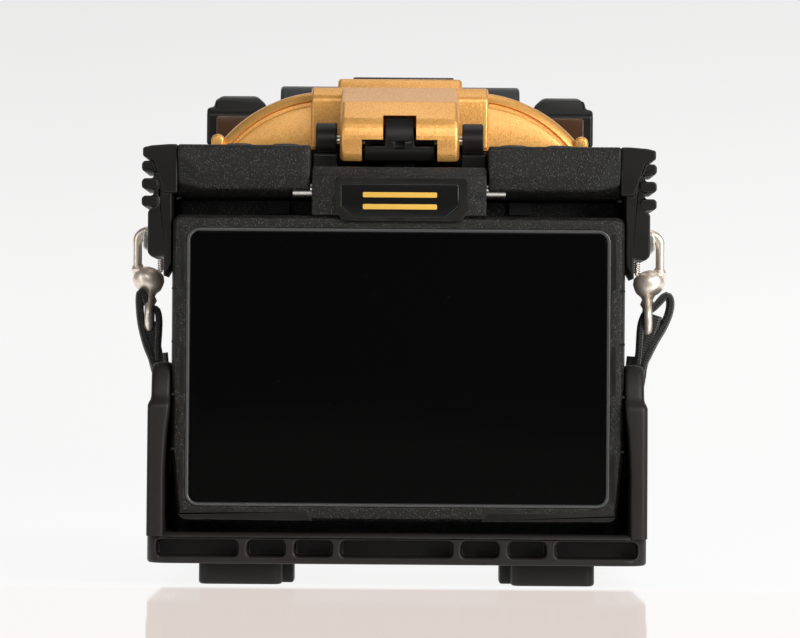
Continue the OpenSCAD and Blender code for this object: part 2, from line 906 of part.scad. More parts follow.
strap();
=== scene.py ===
import math

import bmesh
import bpy
import numpy as np
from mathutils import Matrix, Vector


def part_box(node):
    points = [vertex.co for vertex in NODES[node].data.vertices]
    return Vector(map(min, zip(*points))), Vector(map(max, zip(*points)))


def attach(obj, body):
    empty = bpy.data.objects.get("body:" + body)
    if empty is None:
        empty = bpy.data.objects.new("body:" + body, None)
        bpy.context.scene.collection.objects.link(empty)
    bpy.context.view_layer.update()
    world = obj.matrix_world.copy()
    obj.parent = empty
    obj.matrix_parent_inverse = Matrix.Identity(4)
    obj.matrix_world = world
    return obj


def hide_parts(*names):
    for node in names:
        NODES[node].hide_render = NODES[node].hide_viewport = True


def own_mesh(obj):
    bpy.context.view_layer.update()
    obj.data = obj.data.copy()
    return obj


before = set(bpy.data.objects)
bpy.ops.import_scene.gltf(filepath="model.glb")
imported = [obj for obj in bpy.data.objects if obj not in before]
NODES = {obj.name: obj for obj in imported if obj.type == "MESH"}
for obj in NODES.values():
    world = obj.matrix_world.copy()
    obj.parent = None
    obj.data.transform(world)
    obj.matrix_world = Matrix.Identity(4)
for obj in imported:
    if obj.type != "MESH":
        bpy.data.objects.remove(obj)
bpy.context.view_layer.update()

# A fusion splicer: its looks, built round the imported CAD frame. Shapes are worked out in
# millimetres and go into their meshes in metres.
MM = 0.001
SIDES = {"left": -1.0, "right": 1.0}


# ---- places ----

def span(node):
    """The node's lowest and highest corner, in millimetres."""
    low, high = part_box(node)
    return np.array(low) / MM, np.array(high) / MM


GLASS_LOW, GLASS_HIGH = span("screen_glass")
BEZEL_LOW = span("monitor_bezel")[0]
BUMPER_LOW, BUMPER_HIGH = span("front_bumper")
WING_LOW, WING_HIGH = span("right_wing")


# ---- outlines and surfaces ----

def outline(corners, radii, shrink=0.0, steps=5):
    """Corner points, each replaced by an arc of its radius. shrink moves every edge inwards by
    that much, so a convex arc's radius falls by it and a hollow one's grows."""
    p = np.array(corners, float)
    r = np.broadcast_to(np.array(radii, float), len(p)).copy()
    a, b = p.T
    if (a * np.roll(b, -1) - np.roll(a, -1) * b).sum() < 0:
        p, r = p[::-1], r[::-1]
    ahead = np.roll(p, -1, 0) - p
    ahead /= np.linalg.norm(ahead, axis=1)[:, None]
    behind = np.roll(ahead, 1, 0)
    left_in = np.stack([-behind[:, 1], behind[:, 0]], 1)
    left_out = np.stack([-ahead[:, 1], ahead[:, 0]], 1)
    p = p + (left_in + left_out) / (1 + (left_in * left_out).sum(1))[:, None] * shrink
    turn = np.arctan2(behind[:, 0] * ahead[:, 1] - behind[:, 1] * ahead[:, 0],
                      (behind * ahead).sum(1))
    side = np.where(turn < 0, -1.0, 1.0)
    r = np.maximum(r - side * shrink, 0.02)
    reach = r * np.tan(np.abs(turn) / 2)
    spoke = left_in * (side * r)[:, None]
    centre = p - behind * reach[:, None] + spoke
    swing = turn[:, None] * np.linspace(0, 1, steps + 1)
    c, s = np.cos(swing), np.sin(swing)
    arc = np.stack([-spoke[:, :1] * c + spoke[:, 1:] * s, -spoke[:, :1] * s - spoke[:, 1:] * c], -1)
    return (centre[:, None, :] + arc).reshape(-1, 2)


def smooth_step(value, low, high):
    """0 below low and 1 above high, with 3t^2 - 2t^3 between."""
    t = np.clip((value - low) / (high - low), 0, 1)
    return t * t * (3 - 2 * t)


def placed(flat, axis, along):
    """Profile points at a distance along an axis: (y, z) on X, (x, z) on Y and (x, y) on Z."""
    a, b = np.asarray(flat, float).T
    far = np.full(len(a), float(along))
    return np.stack({"x": (far, a, b), "y": (a, far, b), "z": (a, b, far)}[axis], 1)


def grid(rows, columns, wrap_rows, wrap_columns):
    """The quads between neighbouring points of a grid, closed round either way."""
    i = np.arange(rows if wrap_rows else rows - 1)[:, None]
    j = np.arange(columns if wrap_columns else columns - 1)[None, :]
    i2, j2 = (i + 1) % rows, (j + 1) % columns
    quads = np.stack(np.broadcast_arrays(i * columns + j, i * columns + j2,
                                         i2 * columns + j2, i2 * columns + j), -1)
    return quads.reshape(-1, 4).tolist()


def loft(rings, caps=True, wrap=False):
    """A skin over closed rings of points. Its ends have flat caps, or it closes on itself."""
    rings = np.asarray(rings, float)
    rows, columns = rings.shape[:2]
    faces = grid(rows, columns, wrap, True)
    if caps and not wrap:
        faces += [list(range(columns))[::-1], list(range((rows - 1) * columns, rows * columns))]
    return rings.reshape(-1, 3), faces


def sheet_part(rows):
    """A skin over open rows of points."""
    rows = np.asarray(rows, float)
    return rows.reshape(-1, 3), grid(*rows.shape[:2], False, False)


def bar(corners, radii, axis, low, high, ease=0.5, steps=5, rounds=3):
    """The outline carried along an axis. At both ends it turns in by a quarter circle of radius
    ease: the edge moves in by ease(1 - sin t) while the station moves by ease(1 - cos t)."""
    ends = (ease, ease) if np.isscalar(ease) else ease
    t = np.linspace(0, math.pi / 2, rounds + 1)
    stations = np.concatenate([low + ends[0] * (1 - np.cos(t)),
                               (high - ends[1] * (1 - np.cos(t)))[::-1]])
    shrinks = np.concatenate([ends[0] * (1 - np.sin(t)), (ends[1] * (1 - np.sin(t)))[::-1]])
    return loft([placed(outline(corners, radii, s, steps), axis, a)
                 for s, a in zip(shrinks, stations)])


def box_corners(a, b):
    return [(a[0], b[0]), (a[1], b[0]), (a[1], b[1]), (a[0], b[1])]


def slab(x, y, z, axis="z", radius=0.8, ease=0.4, steps=4):
    """A block between low and high ends, its corners round across the axis and eased along it."""
    across = {"x": (y, z, x), "y": (x, z, y), "z": (x, y, z)}[axis]
    return bar(box_corners(across[0], across[1]), radius, axis, across[2][0], across[2][1],
               ease, steps)


def lathe(profile, centre, axis="z", sides=32):
    """A profile of (radius, height) turned round an axis through the centre. It starts and ends
    on the axis, so it is closed."""
    r, h = np.array(profile, float).T
    t = np.linspace(0, 2 * math.pi, sides, endpoint=False)
    a, b = r[:, None] * np.cos(t), r[:, None] * np.sin(t)
    far = np.broadcast_to(h[:, None], a.shape)
    ring = np.stack({"x": (far, a, b), "y": (b, far, a), "z": (a, b, far)}[axis], -1)
    return loft(ring + np.array(centre, float), caps=False)


def curve(points, step=1.0, closed=False):
    """Points evenly spaced along a Catmull-Rom curve through the given ones: each stretch is a
    cubic whose slope at a point is half the way from its last neighbour to its next."""
    p = np.array(points, float)
    q = np.vstack([p[-1:], p, p[:2]]) if closed else np.vstack([2 * p[0] - p[1], p,
                                                                2 * p[-1] - p[-2]])
    t = np.linspace(0, 1, 24, endpoint=False)[None, :, None]
    a, b, c, d = q[:-3, None], q[1:-2, None], q[2:-1, None], q[3:, None]
    line = 0.5 * (2 * b + (c - a) * t + (2 * a - 5 * b + 4 * c - d) * t ** 2
                  + (3 * b - a - 3 * c + d) * t ** 3)
    line = np.vstack([line.reshape(-1, p.shape[1]), p[:1] if closed else p[-1:]])
    far = np.concatenate([[0], np.cumsum(np.linalg.norm(np.diff(line, axis=0), axis=1))])
    want = np.linspace(0, far[-1], max(3, int(round(far[-1] / step)) + 1))
    if closed:
        want = want[:-1]
    return np.stack([np.interp(want, far, line[:, k]) for k in range(p.shape[1])], 1)


def directions(path, closed=False):
    """Unit steps along a path, each from the point before to the point after."""
    if closed:
        way = np.roll(path, -1, 0) - np.roll(path, 1, 0)
    else:
        way = np.gradient(path, axis=0)
    return way / np.linalg.norm(way, axis=1)[:, None]


def swept(path, wide, width, thick, sides=12, square=1.0, closed=False):
    """A section carried along a path. Its half-width lies along wide and its half-thickness
    across both: cos and sin of the angle, each raised to the power square, so 1 is an ellipse
    and less is closer to a rectangle."""
    way = directions(path, closed)
    wide = wide - (wide * way).sum(1)[:, None] * way
    wide = wide / np.linalg.norm(wide, axis=1)[:, None]
    flat = np.cross(way, wide)
    t = (np.arange(sides) + 0.5) * 2 * math.pi / sides
    c = np.sign(np.cos(t)) * np.abs(np.cos(t)) ** square
    s = np.sign(np.sin(t)) * np.abs(np.sin(t)) ** square
    half_w = np.broadcast_to(np.asarray(width, float) / 2, len(path))[:, None, None]
    half_t = np.broadcast_to(np.asarray(thick, float) / 2, len(path))[:, None, None]
    rings = (path[:, None, :] + wide[:, None, :] * c[None, :, None] * half_w
             + flat[:, None, :] * s[None, :, None] * half_t)
    return loft(rings, wrap=closed)


def tube(points, radius, step=0.6, sides=12, closed=False, lean=(0.31, 0.17, 0.93)):
    """A round wire along a smooth curve through the points."""
    path = curve(points, step, closed)
    wide = np.broadcast_to(np.array(lean), path.shape)
    return swept(path, wide, 2 * np.asarray(radius), 2 * np.asarray(radius), sides, 1.0, closed)


def mirrored(part):
    """The part on the other side of the middle plane."""
    return part[0] * np.array([-1, 1, 1]), [list(face)[::-1] for face in part[1]]


def turned(part, axis, angle, centre):
    """The part turned about an axis through the centre, by an angle in degrees."""
    c, s = math.cos(math.radians(angle)), math.sin(math.radians(angle))
    spin = {"x": [[1, 0, 0], [0, c, -s], [0, s, c]], "y": [[c, 0, s], [0, 1, 0], [-s, 0, c]],
            "z": [[c, -s, 0], [s, c, 0], [0, 0, 1]]}[axis]
    centre = np.array(centre, float)
    return (part[0] - centre) @ np.array(spin).T + centre, part[1]


def moved(part, by):
    return part[0] + np.array(by, float), part[1]


def made(name, parts, sharp=34, closed=True):
    """One mesh object from parts: doubles merged, faces turned outwards, smooth up to an angle."""
    points, faces, start = [], [], 0
    for part_points, part_faces in parts:
        points.append(part_points)
        faces += [[start + k for k in face] for face in part_faces]
        start += len(part_points)
    mesh = bpy.data.meshes.new(name)
    mesh.from_pydata((np.vstack(points) * MM).tolist(), [], faces)
    tidy(mesh, closed)
    mesh.shade_smooth()
    mesh.set_sharp_from_angle(angle=math.radians(sharp))
    piece = bpy.data.objects.new(name, mesh)
    bpy.context.scene.collection.objects.link(piece)
    return piece


def tidy(mesh, outwards=True, flat=False):
    """Merges doubles, and turns a closed mesh's faces outwards."""
    work = bmesh.new()
    work.from_mesh(mesh)
    bmesh.ops.remove_doubles(work, verts=work.verts, dist=2e-6)
    if flat:
        bmesh.ops.dissolve_limit(work, angle_limit=math.radians(1.5), verts=work.verts,
                                 edges=work.edges)
    if outwards:
        bmesh.ops.recalc_face_normals(work, faces=work.faces)
    work.to_mesh(mesh)
    work.free()


def settled(piece):
    """The piece with its modifiers worked into its mesh."""
    mesh = bpy.data.meshes.new_from_object(
        piece.evaluated_get(bpy.context.evaluated_depsgraph_get()))
    piece.modifiers.clear()
    piece.data = mesh
    return piece


def cut(piece, parts):
    """Takes the parts' space out of the piece."""
    tool = made("cutter", parts)
    step = piece.modifiers.new("cut", "BOOLEAN")
    step.object = tool
    step.solver = "EXACT"
    settled(piece)
    bpy.data.objects.remove(tool)
    piece.data.shade_smooth()
    piece.data.set_sharp_from_angle(angle=math.radians(34))
    return piece


def rounded(piece, width, segments=2, angle=32):
    """Rounds the piece's edges with a bevel of that width in millimetres."""
    step = piece.modifiers.new("rounding", "BEVEL")
    step.width = width * MM
    step.segments = segments
    step.limit_method = "ANGLE"
    step.angle_limit = math.radians(angle)
    step.use_clamp_overlap = False
    step.harden_normals = True
    return piece


def eased(name, node, width, segments=2, angle=32):
    """The CAD node's own shape, its triangles merged into flat faces and its edges rounded."""
    mesh = NODES[node].data.copy()
    mesh.name = name
    tidy(mesh, False, True)
    mesh.shade_smooth()
    mesh.set_sharp_from_angle(angle=math.radians(30))
    mesh.materials.clear()
    piece = bpy.data.objects.new(name, mesh)
    bpy.context.scene.collection.objects.link(piece)
    return rounded(piece, width, segments, angle)


def fit(piece, body, slot, *nodes, look=None):
    """Gives the piece its finish and its body, and lets it stand for the CAD nodes named."""
    piece.data.materials.clear()
    piece.data.materials.append(LOOKS[look or slot])
    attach(piece, body)
    if nodes:
        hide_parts(*nodes)
    return piece


# ---- shader groups ----

def group(name, inputs, outputs):
    """An empty shader group, with its input and output sockets."""
    tree = bpy.data.node_groups.new(name, "ShaderNodeTree")
    for label, kind, value in inputs:
        socket = tree.interface.new_socket(label, in_out="INPUT", socket_type="NodeSocket" + kind)
        if value is not None:
            socket.default_value = value
    for label, kind in outputs:
        tree.interface.new_socket(label, in_out="OUTPUT", socket_type="NodeSocket" + kind)
    return tree, tree.nodes.new("NodeGroupInput").outputs, tree.nodes.new("NodeGroupOutput").inputs


def node(tree, kind, inputs, **settings):
    """A shader node with its settings, and its inputs linked or given values."""
    new = tree.nodes.new("ShaderNode" + kind)
    for key, value in settings.items():
        setattr(new, key, value)
    for key, value in inputs.items():
        if isinstance(value, bpy.types.NodeSocket):
            tree.links.new(value, new.inputs[key])
        else:
            new.inputs[key].default_value = value
    return new


def math_node(tree, operation, a, b=0.0):
    return node(tree, "Math", {0: a, 1: b}, operation=operation).outputs[0]


def ramp(tree, value, low, high, out_low=0.0, out_high=1.0):
    """Value carried from the range low to high onto another range, and held at its ends."""
    return node(tree, "MapRange", {"Value": value, "From Min": low, "From Max": high,
                                   "To Min": out_low, "To Max": out_high}).outputs["Result"]


def grain_group():
    """Moulded spark grain: small round pits of uneven depth, and a few bright specks, which are
    painted glints of light off the grain.
    """
    tree, given, out = group("moulded_grain",
                             [("Place", "Vector", None), ("Scale", "Float", 1800.0)],
                             [("Height", "Float"), ("Painted_Glints", "Float")])
    cells = node(tree, "TexVoronoi", {"Vector": given["Place"], "Scale": given["Scale"]})
    cloud = node(tree, "TexNoise", {"Vector": given["Place"], "Detail": 3.0, "Roughness": 0.7,
                                    "Scale": math_node(tree, "MULTIPLY", given["Scale"], 0.9)})
    height = math_node(tree, "ADD", math_node(tree, "MULTIPLY", cells.outputs["Distance"], 0.6),
                       cloud.outputs[0])
    tree.links.new(height, out["Height"])
    bright = node(tree, "SeparateColor", {"Color": cells.outputs["Color"]}).outputs[0]
    # Painted glints: bright cells with short distance lighten the colour where the grain would catch
    # the light.
    painted_glint_mask = math_node(tree, "MULTIPLY", ramp(tree, bright, 0.70, 1.0),
                      ramp(tree, cells.outputs["Distance"], 0.55, 0.2))
    tree.links.new(painted_glint_mask, out["Painted_Glints"])
    return tree


def wear_group():
    """Rubbed edges: where a rounded-off normal leaves the true one, broken up by a cloud."""
    tree, given, out = group("edge_wear", [("Place", "Vector", None), ("Scale", "Float", 300.0)],
                             [("Mask", "Float")])
    soft = node(tree, "Bevel", {"Radius": 0.0005}, samples=4).outputs[0]
    true = node(tree, "NewGeometry", {}).outputs["True Normal"]
    bend = node(tree, "VectorMath", {0: soft, 1: true}, operation="DOT_PRODUCT").outputs["Value"]
    cloud = node(tree, "TexNoise", {"Vector": given["Place"], "Scale": given["Scale"],
                                    "Detail": 4.0}).outputs[0]
    mask = math_node(tree, "MULTIPLY", ramp(tree, bend, 0.985, 0.86), ramp(tree, cloud, 0.42, 0.62))
    tree.links.new(mask, out["Mask"])
    return tree


def dust_group():
    """Settled dust: faces that look up, in soft uneven patches."""
    tree, given, out = group("dust", [("Place", "Vector", None)], [("Mask", "Float")])
    up = node(tree, "SeparateXYZ", {0: node(tree, "NewGeometry", {}).outputs["Normal"]}).outputs[2]
    cloud = node(tree, "TexNoise", {"Vector": given["Place"], "Scale": 45.0, "Detail": 5.0,
                                    "Roughness": 0.65}).outputs[0]
    mask = math_node(tree, "MULTIPLY", ramp(tree, up, 0.6, 1.0), ramp(tree, cloud, 0.42, 0.75))
    tree.links.new(mask, out["Mask"])
    return tree


def mottle_group():
    """A slow uneven value between two levels."""
    tree, given, out = group("mottle", [("Place", "Vector", None), ("Scale", "Float", 60.0),
                                        ("Low", "Float", 0.4), ("High", "Float", 0.5)],
                             [("Value", "Float")])
    cloud = node(tree, "TexNoise", {"Vector": given["Place"], "Scale": given["Scale"],
                                    "Detail": 4.0}).outputs[0]
    value = node(tree, "MapRange", {"Value": cloud, "From Min": 0.3, "From Max": 0.7,
                                    "To Min": given["Low"], "To Max": given["High"]})
    tree.links.new(value.outputs["Result"], out["Value"])
    return tree


def flake_group():
    """Metal flakes in paint: each small cell leans its own way and has its own brightness."""
    tree, given, out = group("paint_flakes",
                             [("Place", "Vector", None), ("Scale", "Float", 3200.0),
                              ("Lean", "Float", 0.2)],
                             [("Normal", "Vector"), ("Bright", "Float")])
    cells = node(tree, "TexVoronoi", {"Vector": given["Place"], "Scale": given["Scale"]})
    about = node(tree, "VectorMath", {0: cells.outputs["Color"], 1: (0.5, 0.5, 0.5)},
                 operation="SUBTRACT").outputs[0]
    tilt = node(tree, "VectorMath", {0: about, "Scale": given["Lean"]},
                operation="SCALE").outputs[0]
    lean = node(tree, "VectorMath", {0: node(tree, "NewGeometry", {}).outputs["Normal"], 1: tilt},
                operation="ADD").outputs[0]
    tree.links.new(node(tree, "VectorMath", {0: lean}, operation="NORMALIZE").outputs[0],
                   out["Normal"])
    bright = node(tree, "SeparateColor", {"Color": cells.outputs["Color"]}).outputs[1]
    tree.links.new(bright, out["Bright"])
    return tree


def brush_group():
    """Fine drawn lines: a cloud stretched along one direction by multiplying its coordinates."""
    tree, given, out = group("drawn_lines",
                             [("Place", "Vector", None), ("Across", "Vector", (900, 900, 60))],
                             [("Height", "Float")])
    stretched = node(tree, "VectorMath", {0: given["Place"], 1: given["Across"]},
                     operation="MULTIPLY").outputs[0]
    cloud = node(tree, "TexNoise", {"Vector": stretched, "Scale": 1.0, "Detail": 3.0})
    tree.links.new(cloud.outputs[0], out["Height"])
    return tree


def weave_group():
    """Webbing: rows of ribs that lean one way and then the other across the width."""
    tree, given, out = group("webbing_weave",
                             [("Along", "Vector", None), ("Rib", "Float", 1300.0)],
                             [("Height", "Float"), ("Painted_Thread_Shade", "Float")])
    parts = node(tree, "SeparateXYZ", {0: given["Along"]}).outputs
    zigzag = math_node(tree, "PINGPONG", parts[1], 0.0014)
    lean = math_node(tree, "ADD", parts[0], zigzag)
    ribs = math_node(tree, "SINE", math_node(tree, "MULTIPLY", lean,
                                             math_node(tree, "MULTIPLY", given["Rib"], 6.283)))
    rows = math_node(tree, "SINE", math_node(tree, "MULTIPLY", parts[1], 4488.0))
    height = math_node(tree, "ADD", math_node(tree, "MULTIPLY", ribs, 0.5),
                       math_node(tree, "MULTIPLY", rows, 0.35))
    tree.links.new(height, out["Height"])
    # A painted shade mask: low in the grooves between threads and high on the ribs, from the weave's
    # height.
    tree.links.new(ramp(tree, height, -0.6, 0.8), out["Painted_Thread_Shade"])
    return tree


GRAIN = grain_group()
WEAR = wear_group()
DUST = dust_group()
MOTTLE = mottle_group()
FLAKES = flake_group()
BRUSH = brush_group()
WEAVE = weave_group()


# ---- materials ----

def use(tree, shared, **inputs):
    """A shared group placed in a material with its own values."""
    return node(tree, "Group", inputs, node_tree=shared).outputs


def blank(name, colour, roughness, metallic=0.0, **plain):
    """A new material: its tree, its Principled shader and the object's own coordinates."""
    material = bpy.data.materials.new(name)
    material.use_nodes = True
    tree = material.node_tree
    shader = tree.nodes["Principled BSDF"]
    shader.inputs["Base Color"].default_value = (*colour, 1.0)
    shader.inputs["Roughness"].default_value = roughness
    shader.inputs["Metallic"].default_value = metallic
    for key, value in plain.items():
        shader.inputs[key.replace("_", " ")].default_value = value
    return material, tree, shader.inputs, node(tree, "TexCoord", {}).outputs["Object"]


def tinted(tree, mask, low, high):
    """A colour between two, by the mask."""
    return node(tree, "Mix", {"Factor": mask, "A": (*low, 1.0), "B": (*high, 1.0)},
                data_type="RGBA").outputs["Result"]


def plastic(name, colour, roughness, grain=1900.0, depth=0.05, specks=0.5, wear=0.3, dust=0.1,
            light=(0.16, 0.155, 0.15), specular=0.26):
    """Moulded plastic or rubber: grain with painted glint specks, rubbed edges, dust and uneven gloss.
    """
    material, tree, shader, place = blank(name, colour, roughness, Specular_IOR_Level=specular)
    pits = use(tree, GRAIN, Place=place, Scale=grain)
    rubbed = math_node(tree, "MULTIPLY", use(tree, WEAR, Place=place)["Mask"], wear)
    settled_dust = math_node(tree, "MULTIPLY", use(tree, DUST, Place=place)["Mask"], dust)
    # The mask lightens the colour towards light: painted glints from the grain specks, plus real
    # rubbed edges and dust.
    mask = math_node(tree, "ADD", math_node(tree, "MULTIPLY", pits["Painted_Glints"], specks),
                     math_node(tree, "ADD", rubbed, settled_dust))
    tree.links.new(tinted(tree, mask, colour, light), shader["Base Color"])
    gloss = use(tree, MOTTLE, Place=place, Low=roughness - 0.05, High=roughness + 0.07)["Value"]
    tree.links.new(gloss, shader["Roughness"])
    bump = node(tree, "Bump", {"Height": pits["Height"], "Distance": depth * MM, "Strength": 1.0})
    tree.links.new(bump.outputs[0], shader["Normal"])
    return material


def gold_paint():
    """Metallic paint: leaning flakes under a thin clear coat."""
    material, tree, shader, place = blank("gold_paint", (0.78, 0.40, 0.10), 0.4, 0.6,
                                          Coat_Weight=0.3, Coat_Roughness=0.25)
    flakes = use(tree, FLAKES, Place=place, Scale=5200.0, Lean=0.16)
    tree.links.new(flakes["Normal"], shader["Normal"])
    tree.links.new(tinted(tree, flakes["Bright"], (0.70, 0.33, 0.070), (1.0, 0.53, 0.155)),
                   shader["Base Color"])
    tree.links.new(use(tree, MOTTLE, Place=place, Scale=40.0, Low=0.36, High=0.44)["Value"],
                   shader["Roughness"])
    return material


def metal(name, colour, roughness, across=(900, 900, 60), depth=0.004, dull=(0.3, 0.26, 0.22),
          metallic=1.0):
    """Drawn or turned metal: fine lines, uneven gloss and duller rubbed spots."""
    material, tree, shader, place = blank(name, colour, roughness, metallic)
    lines = use(tree, BRUSH, Place=place, Across=across)["Height"]
    bump = node(tree, "Bump", {"Height": lines, "Distance": depth * MM})
    tree.links.new(bump.outputs[0], shader["Normal"])
    spots = use(tree, MOTTLE, Place=place, Scale=220.0, Low=0.0, High=0.35)["Value"]
    tree.links.new(tinted(tree, spots, colour, dull), shader["Base Color"])
    gloss = use(tree, MOTTLE, Place=place, Scale=90.0, Low=roughness - 0.05,
                High=roughness + 0.08)["Value"]
    tree.links.new(gloss, shader["Roughness"])
    return material


def gloss(name, colour, roughness, coat=0.0, specular=0.5):
    """A smooth gloss part with a very slight unevenness and a little dust."""
    material, tree, shader, place = blank(name, colour, roughness, Coat_Weight=coat,
                                          Specular_IOR_Level=specular, Coat_Roughness=0.03)
    tree.links.new(use(tree, MOTTLE, Place=place, Scale=25.0, Low=roughness,
                       High=roughness + 0.03)["Value"], shader["Roughness"])
    specks = ramp(tree, node(tree, "TexNoise", {"Vector": place, "Scale": 900.0,
                                                "Detail": 2.0}).outputs[0], 0.74, 0.8)
    lift = tuple(min(1.0, c * 1.5 + 0.004) for c in colour)
    tree.links.new(tinted(tree, specks, colour, lift), shader["Base Color"])
    return material


def circuit_board():
    """Solder mask over copper tracks: square cells of two greens, and fine pads."""
    material, tree, shader, place = blank("circuit_board", (0.01, 0.09, 0.03), 0.35)
    tracks = node(tree, "TexBrick", {"Vector": place, "Scale": 160.0, "Mortar Size": 0.04,
                                     "Color1": (0.008, 0.075, 0.025, 1),
                                     "Color2": (0.012, 0.10, 0.035, 1),
                                     "Mortar": (0.03, 0.20, 0.07, 1)})
    tree.links.new(tracks.outputs["Color"], shader["Base Color"])
    bump = node(tree, "Bump", {"Height": tracks.outputs["Fac"], "Distance": 0.03 * MM})
    tree.links.new(bump.outputs[0], shader["Normal"])
    return material


def webbing():
    """Woven strap: ribs along its own map, with painted shade that darkens the colour between threads.
    """
    material, tree, shader, place = blank("webbing", (0.014, 0.014, 0.014), 0.8,
                                          Sheen_Weight=0.35, Sheen_Roughness=0.5)
    along = node(tree, "UVMap", {}).outputs[0]
    ribs = use(tree, WEAVE, Along=along)
    fuzz = node(tree, "TexNoise", {"Vector": place, "Scale": 1500.0, "Detail": 3.0}).outputs[0]
    # Painted shade: the colour darkens between threads where the weave is low; the fuzz varies it at
    # random.
    tree.links.new(tinted(tree, math_node(tree, "MULTIPLY", ribs["Painted_Thread_Shade"], fuzz),
                          (0.006, 0.006, 0.006), (0.05, 0.049, 0.048)), shader["Base Color"])
    bump = node(tree, "Bump", {"Height": ribs["Height"], "Distance": 0.22 * MM})
    tree.links.new(bump.outputs[0], shader["Normal"])
    return material


BLACK = (0.0085, 0.0080, 0.0073)
LOOKS = {
    # black_housing: its specks weight and light colour give painted glints on its grain.
    "black_housing": plastic("black_housing", BLACK, 0.42, 2900.0, 0.11, 0.55, 0.35, 0.05,
                             (0.22, 0.215, 0.21)),
    "smooth_black": plastic("smooth_black", BLACK, 0.38, 900.0, 0.006, 0.0, 0.25, 0.05),
    "bumper_rubber": plastic("bumper_rubber", (0.014, 0.0120, 0.0115), 0.46, 1200.0, 0.008, 0.0,
                             0.2, 0.05, (0.14, 0.13, 0.12)),
    "slate_plastic": plastic("slate_plastic", (0.032, 0.035, 0.037), 0.4, 1600.0, 0.02, 0.1),
    "key_plastic": plastic("key_plastic", (0.022, 0.021, 0.020), 0.42, 2400.0, 0.02, 0.1),
    "gold_paint": gold_paint(),
    "gold_print": gloss("gold_print", (0.80, 0.47, 0.08), 0.3),
    "screen_glass": gloss("screen_glass", (0.0020, 0.0020, 0.0020), 0.05, 0.0, 0.04),
    "gloss_black": gloss("gloss_black", (0.006, 0.006, 0.006), 0.12, 0.4),
    "amber_window": gloss("amber_window", (0.075, 0.035, 0.018), 0.15, 0.3),
    "hook_nickel": metal("hook_nickel", (1.0, 0.90, 0.80), 0.36, (500, 500, 500), 0.002,
                         (0.72, 0.50, 0.32), 0.75),
    "steel": metal("steel", (0.62, 0.60, 0.57), 0.26, (60, 900, 900)),
    "aluminium": metal("aluminium", (0.72, 0.73, 0.74), 0.38, (900, 60, 900), 0.006,
                       (0.45, 0.45, 0.46)),
    "brass": metal("brass", (0.75, 0.55, 0.25), 0.3),
    "circuit_board": circuit_board(),
    "inner_black": plastic("inner_black", (0.02, 0.02, 0.02), 0.6, 1500.0, 0.02, 0.1),
    "ceramic": plastic("ceramic", (0.72, 0.71, 0.68), 0.3, 2500.0, 0.004, 0.0, 0.1, 0.0,
                       (0.8, 0.79, 0.76)),
    "webbing": webbing(),
}


def dressed(node_name, slot, look=None):
    """A CAD node that stays gets a finish on its own material slots."""
    materials = NODES[node_name].data.materials
    materials.clear()
    materials.append(LOOKS[look or slot])


# ---- camera, light and floor ----

def add_camera():
    """A long lens in front of the object, low down and almost level."""
    camera = bpy.data.objects.new("camera", bpy.data.cameras.new("camera"))
    bpy.context.scene.collection.objects.link(camera)
    camera.data.sensor_width = 36.0
    camera.data.lens = 173.2
    camera.data.clip_start = 0.05
    camera.data.clip_end = 20.0
    camera.location = (0.0006, -1.1785, 0.060)
    camera.rotation_euler = (math.radians(90.85), math.radians(-0.42), 0.0)
    bpy.context.scene.camera = camera


def add_light(name, place, aim, size, power, tint=(1, 1, 1)):
    """A square soft box at a place, turned towards a point."""
    light = bpy.data.objects.new(name, bpy.data.lights.new(name, "AREA"))
    bpy.context.scene.collection.objects.link(light)
    light.data.shape = "RECTANGLE"
    light.data.size, light.data.size_y = size
    light.data.energy = power
    light.data.color = tint
    light.location = place
    light.rotation_euler = (Vector(aim) - Vector(place)).to_track_quat("-Z", "Y").to_euler()


def studio_material():
    """Pale floor and backdrop: a glow, darker higher up and a little on the left as painted shade,
    warmer in front of the object as a painted reflection, with a soft shadow and a weak gloss.
    """
    material = bpy.data.materials.new("studio_paper")
    material.use_nodes = True
    tree = material.node_tree
    shader = tree.nodes["Principled BSDF"].inputs
    place = node(tree, "TexCoord", {}).outputs["Object"]
    across, depth, height = node(tree, "SeparateXYZ", {0: place}).outputs
    # Painted shade: the glow is darker higher up and a little darker on the left, as the lamps' light
    # falls off.
    painted_height_shade = ramp(tree, height, 0.10, 0.40, 0.915, 0.80)
    side = ramp(tree, across, -0.3, 0.3, 0.985, 1.015)
    near = ramp(tree, depth, -0.7, -0.15, 0.06, 1.0)
    seen = node(tree, "LightPath", {}).outputs["Is Camera Ray"]
    glow = math_node(tree, "MULTIPLY", math_node(tree, "MULTIPLY", painted_height_shade, side),
                     math_node(tree, "MAXIMUM", seen, near))
    tree.links.new(glow, shader["Emission Strength"])
    # Painted reflection: the glow turns warm in front of the object, standing in for its warm
    # reflection in the floor.
    front = ramp(tree, depth, -0.100, -0.086, 1.0, 0.0)
    tree.links.new(tinted(tree, front, (1.0, 0.998, 0.996), (1.20, 1.06, 0.99)),
                   shader["Emission Color"])
    shader["Base Color"].default_value = (0.08, 0.08, 0.08, 1.0)
    shader["Roughness"].default_value = 0.9
    shader["Specular IOR Level"].default_value = 0.0
    mirror = node(tree, "BsdfGlossy", {"Roughness": 0.07, "Color": (0.72, 0.9, 1.0, 1)})
    sheen = math_node(tree, "MULTIPLY", ramp(tree, height, 0.0, 0.01, 0.38, 0.0),
                      ramp(tree, depth, -0.100, -0.086, 1.0, 0.05))
    mix = node(tree, "MixShader", {0: sheen,
                                   1: tree.nodes["Principled BSDF"].outputs[0],
                                   2: mirror.outputs[0]})
    tree.links.new(mix.outputs[0], tree.nodes["Material Output"].inputs[0])
    return material


